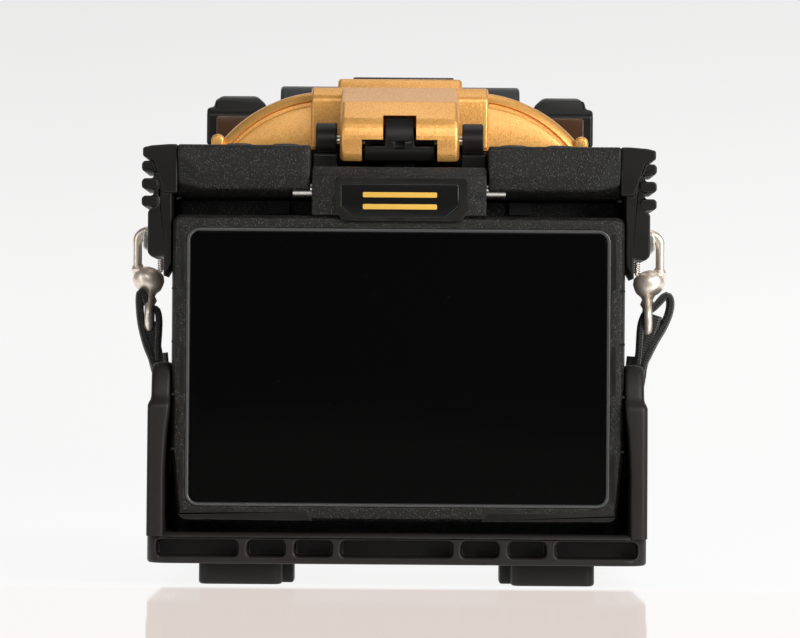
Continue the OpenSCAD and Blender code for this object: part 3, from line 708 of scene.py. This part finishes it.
def add_stage():
    """A sweep: a flat floor that bends up into a wall along a quarter circle."""
    turn = np.linspace(0, math.pi / 2, 24)
    reach, bend, top, half = 1500.0, 900.0, 3000.0, 3500.0
    y = np.concatenate([[-4000.0], reach + bend * np.sin(turn), [reach + bend]])
    z = np.concatenate([[0.0], bend * (1 - np.cos(turn)), [top]])
    rows = [np.stack([np.full(len(y), x), y, z], 1) for x in np.linspace(-half, half, 15)]
    sweep = made("studio_sweep", [sheet_part(rows)], closed=False)
    sweep.data.flip_normals()
    sweep.data.materials.append(studio_material())


def add_studio():
    add_camera()
    add_stage()
    world = bpy.data.worlds.new("studio")
    bpy.context.scene.world = world
    world.use_nodes = True
    ray = node(world.node_tree, "LightPath", {}).outputs["Is Camera Ray"]
    world.node_tree.nodes["Background"].inputs[0].default_value = (1.0, 1.0, 1.0, 1.0)
    world.node_tree.links.new(ramp(world.node_tree, ray, 0.0, 1.0, 0.07, 0.88),
                              world.node_tree.nodes["Background"].inputs[1])
    aim = (0.0, 0.0, 0.08)
    add_light("key_box", (0.95, -0.9, 0.55), aim, (0.6, 0.8), 15.0, (1.0, 0.985, 0.96))
    add_light("fill_box", (-1.0, -0.9, 0.4), aim, (0.5, 0.8), 3.0)
    add_light("front_box", (0.1, -1.35, 0.85), aim, (1.0, 0.35), 5.0, (1.0, 0.99, 0.97))
    add_light("top_box", (0.1, 0.1, 1.15), aim, (0.9, 0.5), 2.0)
    bpy.context.scene.view_settings.view_transform = "Standard"


add_studio()


# ---- strap, its loops and its hooks ----

STRAP_ROUTE = [
    (-71.6, -34, 71.2), (-70.6, -34, 61), (-69.3, -31, 48), (-68.8, -24, 37), (-68.6, -12, 29),
    (-68.5, 6, 26), (-68.5, 28, 26), (-68.5, 50, 26), (-68.8, 68, 26.5), (-69.6, 81, 26.5),
    (-70.0, 92, 22), (-67.5, 102, 13), (-60.0, 110, 6), (-48.0, 115, 2.4), (-34.0, 116, 1.4),
    (-12.0, 112, 1.4), (12.0, 106, 1.4), (30.0, 105, 1.4), (43.0, 112, 1.4), (47.0, 125, 1.4),
    (41.0, 138, 1.4), (27.0, 144, 1.4), (4.0, 143, 1.4), (-20.0, 139, 1.4), (-38.0, 142, 1.4),
    (-49.0, 153, 1.4), (-47.0, 168, 1.4), (-34.0, 177, 1.4), (-10.0, 178, 1.4),
    (18.0, 174, 1.4), (42.0, 166, 1.4), (58.0, 152, 1.6), (66.0, 134, 3), (69.5, 117, 7),
    (70.5, 104, 13), (70.3, 92, 22), (69.6, 81, 26.5), (68.8, 68, 26.5), (68.5, 50, 26),
    (68.5, 28, 26), (68.5, 6, 26), (68.6, -12, 29), (68.8, -24, 37), (69.3, -31, 48),
    (70.6, -34, 61), (71.6, -34, 71.2)]
STRAP_WIDTH = 10.0
STRAP_THICK = 1.8
HOOK_X = 74.2
HOOK_Y = -34.0
HOOK_Z = 99.2
GATE_X = HOOK_X - 3.5
SPRING_FOOT = HOOK_Z - 8.2
SPRING_HEIGHT = 3.3


def mapped(piece, path, sides):
    """A map for the weave: metres along the path, and metres across the strap's width."""
    far = np.concatenate([[0], np.cumsum(np.linalg.norm(np.diff(path, axis=0), axis=1))])
    turn = (np.arange(sides) + 0.5) * 2 * math.pi / sides
    along = np.repeat(far, sides) * MM
    across = np.tile(np.cos(turn) * STRAP_WIDTH / 2, len(path)) * MM
    corner = np.zeros(len(piece.data.loops), np.int32)
    piece.data.loops.foreach_get("vertex_index", corner)
    layer = piece.data.uv_layers.new(name="weave")
    layer.data.foreach_set("uv", np.stack([along[corner], across[corner]], 1).ravel())
    return piece


def strap_web():
    """The neck strap: an oblong section along the route. It stands on its edge beside the
    housing and turns flat, by a blend of the two directions, as it comes down to the table. Its last
    5 mm at each end lies inside the sewn loop and is left off."""
    path = curve(STRAP_ROUTE, 2.5)[2:-2]
    way = directions(path)
    level = np.cross(way, [0, 0, 1.0])
    level /= np.linalg.norm(level, axis=1)[:, None]
    upright = np.cross([1.0, 0, 0], way)
    upright /= np.linalg.norm(upright, axis=1)[:, None]
    stand = np.clip((path[:, 2] - 3) / 19, 0, 1)[:, None]
    wide = level * (1 - stand) + upright * stand
    twist = smooth_step(path[:, 2], 46, 62)[:, None] * 0.62
    wide = wide + np.sign(path[:, :1]) * twist * np.array([1.0, 0, 0])
    strap = made("neck_strap", [swept(path, wide, STRAP_WIDTH, STRAP_THICK, 12, 0.55)])
    return mapped(strap, path, 12), path


def strap_loop(name, side, line, patch_line, pinch):
    """The strap's sewn end: a thicker band folded up through the eye and back. It narrows by a
    bell curve round the eye."""
    path = curve([(x * side, HOOK_Y + y, z) for x, y, z in line], 0.8)
    near = np.exp(-((path[:, 2] - pinch[1]) ** 2 + (np.abs(path[:, 0]) - pinch[0]) ** 2) / 9.0)
    wide = np.broadcast_to([0.0, 1.0, 0.0], path.shape)
    leg = smooth_step(path[:, 2], 62, 68) * smooth_step(np.arange(len(path)), len(path), 0)
    part = swept(path, wide, STRAP_WIDTH - 4.4 * near, 1.9 + 0.7 * leg - 0.4 * near, 12, 0.6)
    patch = mapped(made(name + "_patch", [sewn_patch(side, patch_line)]),
                   curve(patch_line, 0.8), 12)
    return mapped(made(name, [part]), path, 12), patch


def hook_part():
    """A snap hook: flattened wire loop, round knuckle, egg-shaped swivel body, stem and eye."""
    x, y, z = HOOK_X, HOOK_Y, HOOK_Z
    reach = 3.5
    t = np.radians(np.linspace(0, 185, 14))
    arc = [(x + reach * math.cos(a), y, z + (reach - 0.4) * math.sin(a)) for a in t]
    line = curve([(x + reach, y, z - 9), (x + reach, y, z - 4)] + arc, 0.6)
    broad = np.broadcast_to([0.0, 1.0, 0.0], line.shape)
    loop = swept(line, broad, 3.4, 2.6 + 0.9 * smooth_step(line[:, 2], z - 1, z + 3), 16, 0.85)
    body = [(0, -4.75), (1.5, -4.6), (2.9, -3.8), (3.75, -2.2), (4.0, -0.3), (3.8, 1.5),
            (3.1, 3.1), (1.8, 4.3), (0, 4.6)]
    swivel = turned(lathe(body, (0, y, 0), "x"), "y", -22, (0, 0, 0))
    swivel = moved(swivel, (x + 0.3, 0, z - 11.2))
    knuckle = lathe([(0, -1.8), (1.4, -1.5), (2.0, 0), (1.4, 1.5), (0, 1.8)],
                    (x + reach - 0.1, y, z - 8.0))
    stem = lathe([(0, -19.0), (1.5, -18.6), (2.2, -17.4), (1.6, -16.0), (2.4, -14.6), (0, -14)],
                 (x - 0.2, y, z))
    around = np.radians(np.linspace(0, 360, 16, endpoint=False))
    width = 4.7 * np.sin(around) * (1 - 0.14 * np.cos(around))
    eye = tube(np.stack([np.full(16, x - 0.2), y + width, z - 21.7 + 5.0 * np.cos(around)], 1),
               1.25, 0.6, 12, True)
    post = lathe([(0, -8.9), (0.5, -8.7), (0.5, -2.2), (0, -2.0)], (x - reach, y, z), sides=10)
    return [loop, swivel, knuckle, stem, eye, post]


def gate_part():
    """The sliding gate: a sleeve with a thumb stud."""
    x = GATE_X
    sleeve = lathe([(0.56, -4.7), (1.0, -4.7), (1.2, -4.4), (1.2, -1.4), (1.0, -1.1),
                    (0.56, -1.1), (0.56, -4.7)], (x, HOOK_Y, HOOK_Z), sides=20)
    stud = lathe([(0, -3.4), (0.6, -3.3), (0.85, -2.9), (0.6, -2.4), (0.5, -0.6), (0, -0.6)],
                 (x, HOOK_Y, HOOK_Z - 3), "y", 16)
    return [sleeve, stud]


def spring_part():
    """The gate's coil spring: a helix of five turns between the body and the gate."""
    t = np.linspace(0, 1, 80)
    turn = t * 5 * 2 * math.pi
    x, y = GATE_X + 0.95 * np.cos(turn), HOOK_Y + 0.95 * np.sin(turn)
    return [tube(np.stack([x, y, SPRING_FOOT + SPRING_HEIGHT * t], 1), 0.2, 0.3, 6)]


LOOP_LINES = {
    "left": [(72.0, 0, 60), (72.9, 0, 64), (75.0, 0, 70), (76.6, 0, 76.5), (77.0, 0, 82),
             (76.6, 0, 84.6), (75.6, 0, 83.4), (74.4, 0, 80.3), (73.0, 0, 79.7), (71.8, 0, 79.2),
             (71.2, 0, 76.5), (71.3, 0, 72), (71.5, 0, 68), (71.2, 0, 64)],
    "right": [(72.0, 0, 60), (73.4, 0, 65), (76.0, 0, 70.5), (78.9, 0, 75.5), (80.6, 0, 80),
              (80.7, 0, 83.4), (79.4, 0, 84.5), (77.2, 0, 82.2), (75.2, 0, 80.2), (73.4, 0, 79.4),
              (72.2, 0, 76.5), (71.8, 0, 72), (71.6, 0, 68), (71.2, 0, 64)],
}
PATCH_LINES = {
    "left": [(74.0, 0, 75.5), (73.4, 0, 71), (72.4, 0, 66.5), (71.4, 0, 61)],
    "right": [(76.6, 0, 78.5), (75.0, 0, 73.5), (73.0, 0, 68), (71.6, 0, 61)],
}


def sewn_patch(side, line):
    """The stitched part under the eye, where both legs of the loop lie together."""
    path = curve([(x * side, HOOK_Y + y, z) for x, y, z in line], 0.8)
    wide = np.broadcast_to([0.0, 1.0, 0.0], path.shape)
    thick = 3.2 + 1.4 * np.sin(np.linspace(0.4, math.pi - 0.4, len(path)))
    return swept(path, wide, STRAP_WIDTH - 1.2, thick, 12, 0.7)


def add_strap():
    strap, path = strap_web()
    fit(strap, "body", "webbing", "strap")
    hooks = [made("strap_hook_pair", hook_part() + [mirrored(p) for p in hook_part()], 40)]
    fit(hooks[0], "body", "hook_nickel", "strap_hooks")
    on_strap = [hooks[0]]
    for side, sign in SIDES.items():
        loop, patch = strap_loop(side + "_sewn_loop", sign, LOOP_LINES[side],
                                 PATCH_LINES[side], (74.0, 78.2))
        fit(loop, "body", "webbing", *(["strap_loops"] if side == "left" else []))
        fit(patch, "body", "webbing")
        parts = gate_part() if sign > 0 else [mirrored(p) for p in gate_part()]
        gate = fit(made(side + "_gate_sleeve", parts, 40), side + "_gate", "hook_nickel",
                   side + "_hook_gate")
        parts = spring_part() if sign > 0 else [mirrored(p) for p in spring_part()]
        spring = fit(made(side + "_gate_spring", parts, 60), "body", "steel")
        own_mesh(spring)
        on_strap += [loop, patch, gate, spring]
    anchors = []
    for y in (HOOK_Y - 9, HOOK_Y + 9):
        anchors.append(slab((65.5, 75.5), (y - 1.6, y + 1.6), (96.5, 102.7), "y", 1.6, 0.4))
    anchors.append(lathe([(0, HOOK_Y - 9), (1.5, HOOK_Y - 9), (1.5, HOOK_Y + 9),
                          (0, HOOK_Y + 9)], (HOOK_X - 0.3, 0, HOOK_Z + 0.4), "y", 24))
    fit(made("strap_anchor_pair", anchors + [mirrored(p) for p in anchors]), "body", "steel",
        "strap_anchors")


add_strap()


# ---- base, bumper and housing ----

def both(parts):
    return parts + [mirrored(p) for p in parts]


def screw(centre, axis="z", out=1.0, radius=2.1):
    """A button-head screw with a round socket; out is the side of the axis its head faces."""
    profile = [(0, -0.5), (0.42, -0.5), (0.5, 0.55), (0.8, 0.62), (0.93, 0.35), (1.0, 0.0),
               (1.0, -0.8), (0, -0.8)]
    part = lathe([(r * radius, h * out) for r, h in profile], centre, axis, 18)
    return part


SLOTS = [(-68.6, -45.1), (-42.6, -31.7), (-29.1, -18.3), (-16, 16), (18.3, 29.1),
         (31.7, 42.6), (45.1, 68.6)]


def bumper_bar():
    """The front bar: a U in plan, its top edge well rounded, with seven slots in its front."""
    half, front = BUMPER_HIGH[0], BUMPER_LOW[1]
    plan = [(-half, front), (half, front), (half, -30), (64, -30), (64, -74), (-64, -74),
            (-64, -30), (-half, -30)]
    base = bar(plan, [7, 7, 0.4, 0.4, 1.5, 1.5, 0.4, 0.4], "z", 6.3, 15, (0.9, 1.5), 6, 4)
    piece = made("front_bar", [base], 40)
    cut(piece, [slab(x, (front - 2, front + 7.6), (8.4, 13.0), "y", 1.4, 0.0) for x in SLOTS])
    return rounded(piece, 0.8, 4, 60)


def post_part():
    """A corner post: a round-cornered oblong whose four sides follow smooth curves of height."""
    z = [14, 22, 33, 43, 50, 51.6, 52.8, 54, 58, 61.6, 63.0, 63.5, 63.7]
    outer = [71.4, 71.4, 71.4, 71.4, 71.4, 71.3, 70.7, 70.5, 70.5, 70.5, 70.1, 69.4, 68.4]
    inner = [66.5, 66.5, 66.5, 66.0, 65.2, 65.1, 65.1, 65.1, 65.1, 65.1, 65.5, 66.0, 66.9]
    front = [-82.9, -82.8, -82.5, -82.1, -81.6, -81.3, -80.3, -79.6, -78.4, -76.6, -75.2, -74.2,
             -73]
    back = [-30, -36, -44.5, -49.5, -52.6, -53.5, -54.2, -54.6, -56.4, -58.4, -59.4, -60.4, -61.6]
    line = curve(np.stack([z, outer, inner, front, back], 1), 1.2)
    rings = [placed(outline([(i, f), (o, f), (o, b), (i, b)], [1.0, 1.9, 1.9, 0.8], 0, 5), "z", h)
             for h, o, i, f, b in line]
    return loft(rings)


def foot_parts(y, step):
    """A rubber foot: an oblong block with a rounded lower edge; a front foot has a wider heel
    set back behind it."""
    parts = [bar(box_corners((32.8, 56.8), y), 3, "z", 0, 6.6, (0.9, 0.1), 6, 4)]
    if step:
        parts.append(bar(box_corners((29.7, 45), (y[0] + 8, y[1] - 2)), 1.0, "z", 0.2, 6.6,
                         (0.6, 0.1), 4, 3))
    return both(parts)


def add_base():
    fit(bumper_bar(), "body", "bumper_rubber", "front_bumper")
    fit(made("corner_posts", both([post_part()]), 30), "body", "bumper_rubber")
    fit(eased("rear_bumper_ring", "rear_bumper", 0.9, 3), "body", "bumper_rubber", "rear_bumper")
    feet = foot_parts((-74, -50), True) + foot_parts((45, 63), False)
    fit(made("foot_blocks", feet), "body", "bumper_rubber", "rubber_feet")
    fit(eased("base_pan", "base_plate", 0.5), "body", "inner_black", "base_plate")
    fit(eased("housing_shell", "main_housing", 0.7), "body", "black_housing", "main_housing")
    ribs = [slab((65.6, 66.9), (-22, 64), (z, z + 2.4), "x", 1.1, 0.5)
            for z in np.arange(34, 62, 5.0)]
    frame_bar = [slab((65.6, 66.7), (20, 68), (67.5, 69.3), "x", 0.8, 0.4),
                 slab((65.6, 66.7), (20, 68), (98.7, 100.5), "x", 0.8, 0.4),
                 slab((65.6, 66.7), (20, 21.8), (67.5, 100.5), "x", 0.8, 0.4),
                 slab((65.6, 66.7), (66.2, 68), (67.5, 100.5), "x", 0.8, 0.4)]
    fit(made("side_grip_ribs", both(ribs + frame_bar)), "body", "bumper_rubber")
    screws = [screw((66.0, y, z), "x", 1.0) for y in (-46, 72) for z in (28, 104)]
    rear = [screw((x, 80.0, z), "y", 1.0) for x in (-60, 60) for z in (54, 104)]
    fit(made("housing_screws", both(screws) + rear), "body", "steel")
    back = [slab((-54, 54), (79.6, 80.8), (76, 77.6), "y", 0.7, 0.4),
            slab((-54, 54), (79.6, 80.8), (104, 105.6), "y", 0.7, 0.4),
            slab((-54, -52.4), (79.6, 80.8), (76, 105.6), "y", 0.7, 0.4),
            slab((52.4, 54), (79.6, 80.8), (76, 105.6), "y", 0.7, 0.4)]
    back += [slab((x, x + 3), (79.6, 80.6), (81, 100.6), "y", 1.4, 0.4)
             for x in np.arange(-46.5, 45, 6.0)]
    fit(made("rear_panel_ribs", back), "body", "bumper_rubber")
    fit(eased("battery_case", "battery_pack", 0.7), "battery", "slate_plastic", "battery_pack")
    fit(eased("socket_flap_skin", "socket_flap", 0.4), "socket_cover", "bumper_rubber",
        "socket_flap")


add_base()


# ---- deck, wings, guards and keys ----

def wing_part():
    """A wing: a side outline carried along X with eased ends. Its crease climbs near the outer
    end, by a smooth step."""
    low, high = WING_LOW[0], WING_HIGH[0]
    ease = 0.7
    t = np.linspace(0, math.pi / 2, 4)
    stations = np.concatenate([low + ease * (1 - np.cos(t)), np.linspace(low + 3, 56, 8),
                               np.linspace(57, high - 0.9, 10), (high - ease * (1 - np.cos(t)))[::-1]])
    shrinks = np.concatenate([ease * (1 - np.sin(t)), np.zeros(18), ease * (1 - np.sin(t))[::-1]])
    rings = []
    for x, shrink in zip(stations, shrinks):
        lift = 6.6 * smooth_step(x, 55.5, 64.0)
        side = [(-48.3, 111), (-61, 111), (-71.5, 111.2), (-77.4 + 0.1 * lift, 113.3 + 0.25 * lift),
                (-78.6, 117 + lift), (-78.1, 126), (-48.3, 126)]
        rings.append(placed(outline(side, [0.8, 4, 6, 2.2, 0.5, 1.5, 0.8], shrink, 5), "x", x))
    return loft(rings)


def key_part(x):
    """A key cap: a round button with a dished top."""
    return lathe([(0, 122.0), (4.15, 122.0), (4.2, 126.2), (4.05, 126.75), (3.6, 127.05),
                  (2.9, 126.95), (1.5, 126.6), (0, 126.5)], (x, -62, 0), sides=40)


def add_deck():
    fit(eased("deck_shell", "top_deck", 0.6), "body", "black_housing", "top_deck")
    for side, sign in SIDES.items():
        part = wing_part() if sign > 0 else mirrored(wing_part())
        wing = made(side + "_wing_shell", [part], 30)
        holes = [lathe([(0, 121), (4.6, 121), (4.6, 130), (0, 130)], (sign * x, -62, 0), sides=40)
                 for x in (33.0, 46.5)]
        fit(cut(wing, holes), "body", "black_housing", side + "_wing")
        fit(eased(side + "_guard_shell", side + "_side_guard", 0.55, 3), "body", "black_housing",
            side + "_side_guard", look="smooth_black")
    keys = {"power_key": (-46.5, "power_button"), "left_arrow_key": (-33, "left_arrow_button"),
            "right_arrow_key": (33, "right_arrow_button"), "start_key": (46.5, "start_button")}
    for name, (x, body) in keys.items():
        fit(made(name + "_cap", [key_part(x)], 40), body, "key_plastic", name)
    fit(eased("hinge_bracket_shell", "cover_hinge_bracket", 0.5), "body", "black_housing",
        "cover_hinge_bracket", look="smooth_black")


add_deck()


# ---- monitor ----

BEZEL = [(-62.7, 18.3), (62.7, 18.3), (64.7, 39), (64.7, 105.8), (-64.7, 105.8), (-64.7, 39)]
BEZEL_R = [2.5, 2.5, 20, 2.5, 2.5, 20]
OPENING = [(-60.7, 22.5), (60.7, 22.5), (60.7, 39), (60.7, 102.2), (-60.7, 102.2), (-60.7, 39)]
OPENING_R = [3.7, 3.7, 1, 3.7, 3.7, 1]


def banded(name, steps, sharp=28):
    """A closed frame: bands between one step of (corners, radii, shrink, y) and the next, and
    from the last back to the first."""
    rings = [placed(outline(c, r, s, 8), "y", y) for c, r, s, y in steps]
    return made(name, [loft(rings, wrap=True)], sharp)


def add_monitor():
    front = BEZEL_LOW[1]
    outer, inner = (BEZEL, BEZEL_R), (OPENING, OPENING_R)
    steps = [(*outer, 0, -69.0), (*outer, 0, front + 1.7), (*outer, 0.35, front + 0.85),
             (*outer, 1.0, front + 0.2), (*outer, 1.7, front), (*inner, -0.15, front),
             (*inner, 0, front + 0.15), (*inner, 0, -69.0)]
    fit(banded("bezel_frame", steps), "monitor", "black_housing", "monitor_bezel")
    rim = [(*inner, 0.02, -76.5), (*inner, 0.02, front - 0.05), (*inner, 0.25, front - 0.25),
           (*inner, 0.55, front - 0.3), (*inner, 0.85, front - 0.2), (*inner, 1.15, front + 0.25),
           (*inner, 1.2, -76.5)]
    fit(banded("screen_rim", rim, 50), "monitor", "black_housing", "glass_rim",
        look="rim_black")
    glass = bar(box_corners((GLASS_LOW[0], GLASS_HIGH[0]), (GLASS_LOW[2], GLASS_HIGH[2])), 3, "y",
                front + 0.2, front + 1.6, (0.25, 0.1), 8)
    fit(made("screen_cover_glass", [glass]), "monitor", "screen_glass", "screen_glass")
    strips = [slab((60.95, 62.4), (front - 0.12, front + 0.6), z, "y", 0.3, 0.12)
              for z in ((85.0, 101.0), (54.6, 69.1), (24.0, 38.4))]
    marks = [slab((62.9, 64.85), (front + 0.1, front + 7), (z, z + 0.7), "y", 0.2, 0.15)
             for z in (84.3, 69.1, 54.0, 38.4)]
    panel = bar([(24, 18.5), (62.2, 18.7), (62.5, 21.2), (26, 21.2)], [0.2, 2.0, 1.0, 0.6], "y",
                front - 0.12, front + 0.8, (0.12, 0.1))
    fit(made("bezel_panels", both(strips + marks + [panel])), "monitor", "black_housing",
        look="smooth_black")
    fit(eased("monitor_back_shell", "monitor_rear_cover", 0.9), "monitor", "black_housing",
        "monitor_rear_cover")
    back = [screw((x, -63.5, z), "y", 1.0, 1.8) for x in (-56, 56) for z in (26, 98)]
    fit(made("monitor_back_screws", back), "monitor", "steel")
    # hinge block: front, bevel band and recessed foot, round the tilt axis at the back
    t = np.radians(np.linspace(62, -4, 9))
    side = [(-67.5, 105.8), (-78.6, 105.8), (-78.6, 110.6), (-79.5, 112.6), (-79.5, 117.2),
            (-76.6, 119.9)]
    side += [(-74 + 7.9 * math.cos(a), 113 + 7.9 * math.sin(a)) for a in t]
    block = bar(side[::-1], [0.1] * 9 + [1.2, 1.0, 0.3, 0.3, 0.8, 0.6], "x", -25, 25, 0.6, 4)
    fit(made("hinge_block_shell", [block], 26), "monitor", "black_housing",
        "monitor_hinge_block")
    plaque_out = [(-16.2, 104.3), (17.8, 104.3), (19.8, 107.2), (19.8, 116.8), (-18.2, 116.8),
                  (-18.2, 107.2)]
    plaque_in = [(-12.6, 105.2), (13.2, 105.2), (17.0, 108.6), (17.0, 114.9), (-16.6, 114.9),
                 (-16.6, 108.6)]
    edge = [(plaque_out, 1.4, 0, -77.5), (plaque_out, 1.4, 0, -79.7), (plaque_out, 1.4, 0.3, -79.95),
            (plaque_in, 0.8, -0.3, -79.95), (plaque_in, 0.8, 0, -79.7), (plaque_in, 0.8, 0, -77.5)]
    fit(banded("badge_frame", edge), "monitor", "black_housing", look="smooth_black")
    face = bar(plaque_in, 0.7, "y", -79.75, -78.0, (0.2, 0.1))
    fit(made("badge_face", [face]), "monitor", "gloss_black", "badge_plate")
    bars = [slab((-10.4, 10.8), (-79.95, -79.6), z, "y", 0.35, 0.08)
            for z in ((107.6, 109.1), (111.0, 112.5))]
    fit(made("badge_bars", bars), "monitor", "gold_paint", look="gold_print")


LOOKS["rim_black"] = gloss("rim_black", (0.035, 0.035, 0.036), 0.28, 0.0, 0.8)
add_monitor()


# ---- wind cover ----

DOME = (21.0, 103.0, 41.0)
COVER_FOOT = 126.6
AXIS = (-60.0, 128.0)
BAND = [(-50.6, 126.8), (-50.6, 141.8), (-46.4, 144.9), (8, 144.9), (14, 142.4), (18.9, 134.5),
        (18.9, 126.8), (16.4, 126.8), (16.4, 133.6), (12.2, 140), (7.4, 142.1), (-45.6, 142.1),
        (-48.4, 140.2), (-48.4, 126.8)]
BAND_R = [0.3, 3.0, 3.5, 4, 6, 3, 0.3, 0.3, 2, 3, 2, 1.5, 1.5, 0.3]


def dome_part():
    """A side dome: a circular arc from the foot line up to the band, drawn once for each step
    (inset, y) of a path over the skin: front face, groove, lip, top, back, then the inner wall.
    A step's arc has the dome's radius less its inset."""
    skin = [(4.8, -45.5), (4.3, -45.2), (4.0, -43.7), (3.1, -43.6), (2.7, -44.3), (1.0, -43.5),
            (0.3, -42.7), (0, -41.4), (0, -28), (0, -14), (0, 0), (0, 6), (0.35, 9), (1.3, 12),
            (3.0, 14.8), (5.6, 17), (9.0, 18), (11.0, 16), (4.5, 11), (2.2, 6), (2.0, -10),
            (2.0, -40), (5.5, -43)]
    inset, y = np.array(skin).T
    radius = (DOME[2] - inset)[:, None]
    start = np.arcsin((COVER_FOOT - DOME[1]) / radius)
    end = np.arccos(3.0 / radius)
    angle = start + (end - start) * np.linspace(0, 1, 34)[None, :]
    x, z = DOME[0] + radius * np.cos(angle), DOME[1] + radius * np.sin(angle)
    rows = np.stack([x, np.broadcast_to(y[:, None], x.shape), z], -1)

    def foot(row, at):
        """The foot line under a row, at its own y."""
        line = rows[row].copy()
        line[:, 1], line[:, 2] = at, COVER_FOOT
        return line[None]

    outer_back, inner_back = foot(16, 18.0), foot(17, 16.0)
    rows = np.concatenate([foot(0, -45.5), rows[:17], outer_back, inner_back, rows[17:],
                           foot(-1, -43.0)])
    return loft(rows.transpose(1, 0, 2))


def nose_outline():
    """The cover's nose from the side: the hinge barrel's arc, a crease, a slope and the way up
    to the band."""
    t = np.radians(np.linspace(211, 153, 12))
    barrel = [(AXIS[0] + 11.95 * math.cos(a), AXIS[1] + 11.95 * math.sin(a)) for a in t]
    rest = [(-69.9, 134.4), (-63.4, 139.6), (-60.2, 140.5), (-54, 142.4), (-46.6, 144.9),
            (-45.5, 144.9), (-45.5, 141), (-52, 138.6), (-57.8, 135), (-57.8, 128), (-59.9, 127.9),
            (-59.9, 122.1)]
    radii = [0.3] + [0.05] * 11 + [1.4, 2.3, 3, 3, 1.0, 0.1, 0.1, 1, 1, 0.1, 0.1, 0.3]
    return barrel + rest, radii


def rod(x, y, z, radius, sides=48):
    """A round rod along X, for cutting."""
    return lathe([(0, x[0]), (radius, x[0]), (radius, x[1]), (0, x[1])], (0, y, z), "x", sides)


def add_cover():
    corners, radii = nose_outline()
    nose = made("cover_nose", [bar(corners, radii, "x", -17.2, 17.2, 1.5, 4, 5)], 24)
    cut(nose, [rod((-10.9, 10.9), AXIS[0], AXIS[1], 10.8)])
    cut(nose, [slab((-10.9, 10.9), (-76, -57), (110, 128), "x", 0.1, 0)])
    cut(nose, [slab((-4.8, 4.8), (-76, -62), (110, 135.2), "x", 0.1, 0)])
    fit(nose, "wind_cover", "gold_paint")
    band = made("cover_band", [bar(BAND, BAND_R, "x", -26, 26, 0.9, 5, 4)], 24)
    fit(band, "wind_cover", "gold_paint", "wind_cover_band")
    top = [(-42.6, 143.9), (-38.6, 148.1), (4.2, 148.1), (8.8, 143.9)]
    raised = bar(top, [0.5, 3.2, 3.2, 0.5], "x", -18.4, 18.4, 1.1, 6, 4)
    fit(made("cover_raised_band", [raised], 24), "wind_cover", "gold_paint")
    domes = made("cover_domes", both([dome_part()]), 24)
    cut(domes, [slab((-62, 62), (-15.5, -12.5), (124, 128), "x", 0.9, 0)])
    fit(domes, "wind_cover", "gold_paint", "wind_cover_domes")
    tabs = slab((51.6, 55.6), (-45.2, 17), (126.6, 131.0), "y", 1.8, 1.0)
    fit(made("cover_end_tabs", both([tabs])), "wind_cover", "gold_paint")
    trim = slab((-14, 16), (-34, 2), (148.0, 148.9), "z", 1.5, 0.3)
    fit(made("cover_trim_strip", [trim], 12), "wind_cover", "gloss_black", "cover_trim")


add_cover()


# ---- heater ----

def add_heater():
    fit(eased("heater_base_shell", "heater_base", 0.6), "body", "slate_plastic", "heater_base")
    fit(eased("heater_lid_shell", "heater_lid", 1.0, 3), "heater_cover", "slate_plastic",
        "heater_lid")
    for side, sign in SIDES.items():
        body = side + "_heater_cap"
        fit(eased(side + "_heater_cap_shell", side + "_heater_clamp", 1.0, 3), body,
            "black_housing", side + "_heater_clamp", look="smooth_black")
        window = slab((44.5, 57.6), (27.5, 28.5), (133.0, 141.2), "y", 0.8, 0.25)
        window = window if sign > 0 else mirrored(window)
        fit(made(side + "_heater_window", [window]), body, "gloss_black", look="amber_window")


add_heater()


# ---- CAD nodes that stay ----

KEPT = {
    "brass": ["tripod_insert", "board_standoffs"],
    "inner_black": ["battery_bay", "key_pads", "monitor_stop_pads", "cover_press_arms",
                    "electrode_holders", "microscope_objectives", "left_sheath_clamp",
                    "right_sheath_clamp"],
    "circuit_board": ["main_board", "monitor_board"],
    "steel": ["power_sockets", "monitor_hinge_pins", "cover_hinge_pin", "electrodes",
              "heater_hinge_pin"],
    "aluminium": ["optical_bench", "left_fibre_stage", "right_fibre_stage", "heater_plate"],
    "ceramic": ["v_grooves"],
    "gloss_black": ["lcd_panel"],
    "slate_plastic": ["high_voltage_unit"],
}
for slot_name, names in KEPT.items():
    for kept_name in names:
        dressed(kept_name, slot_name)
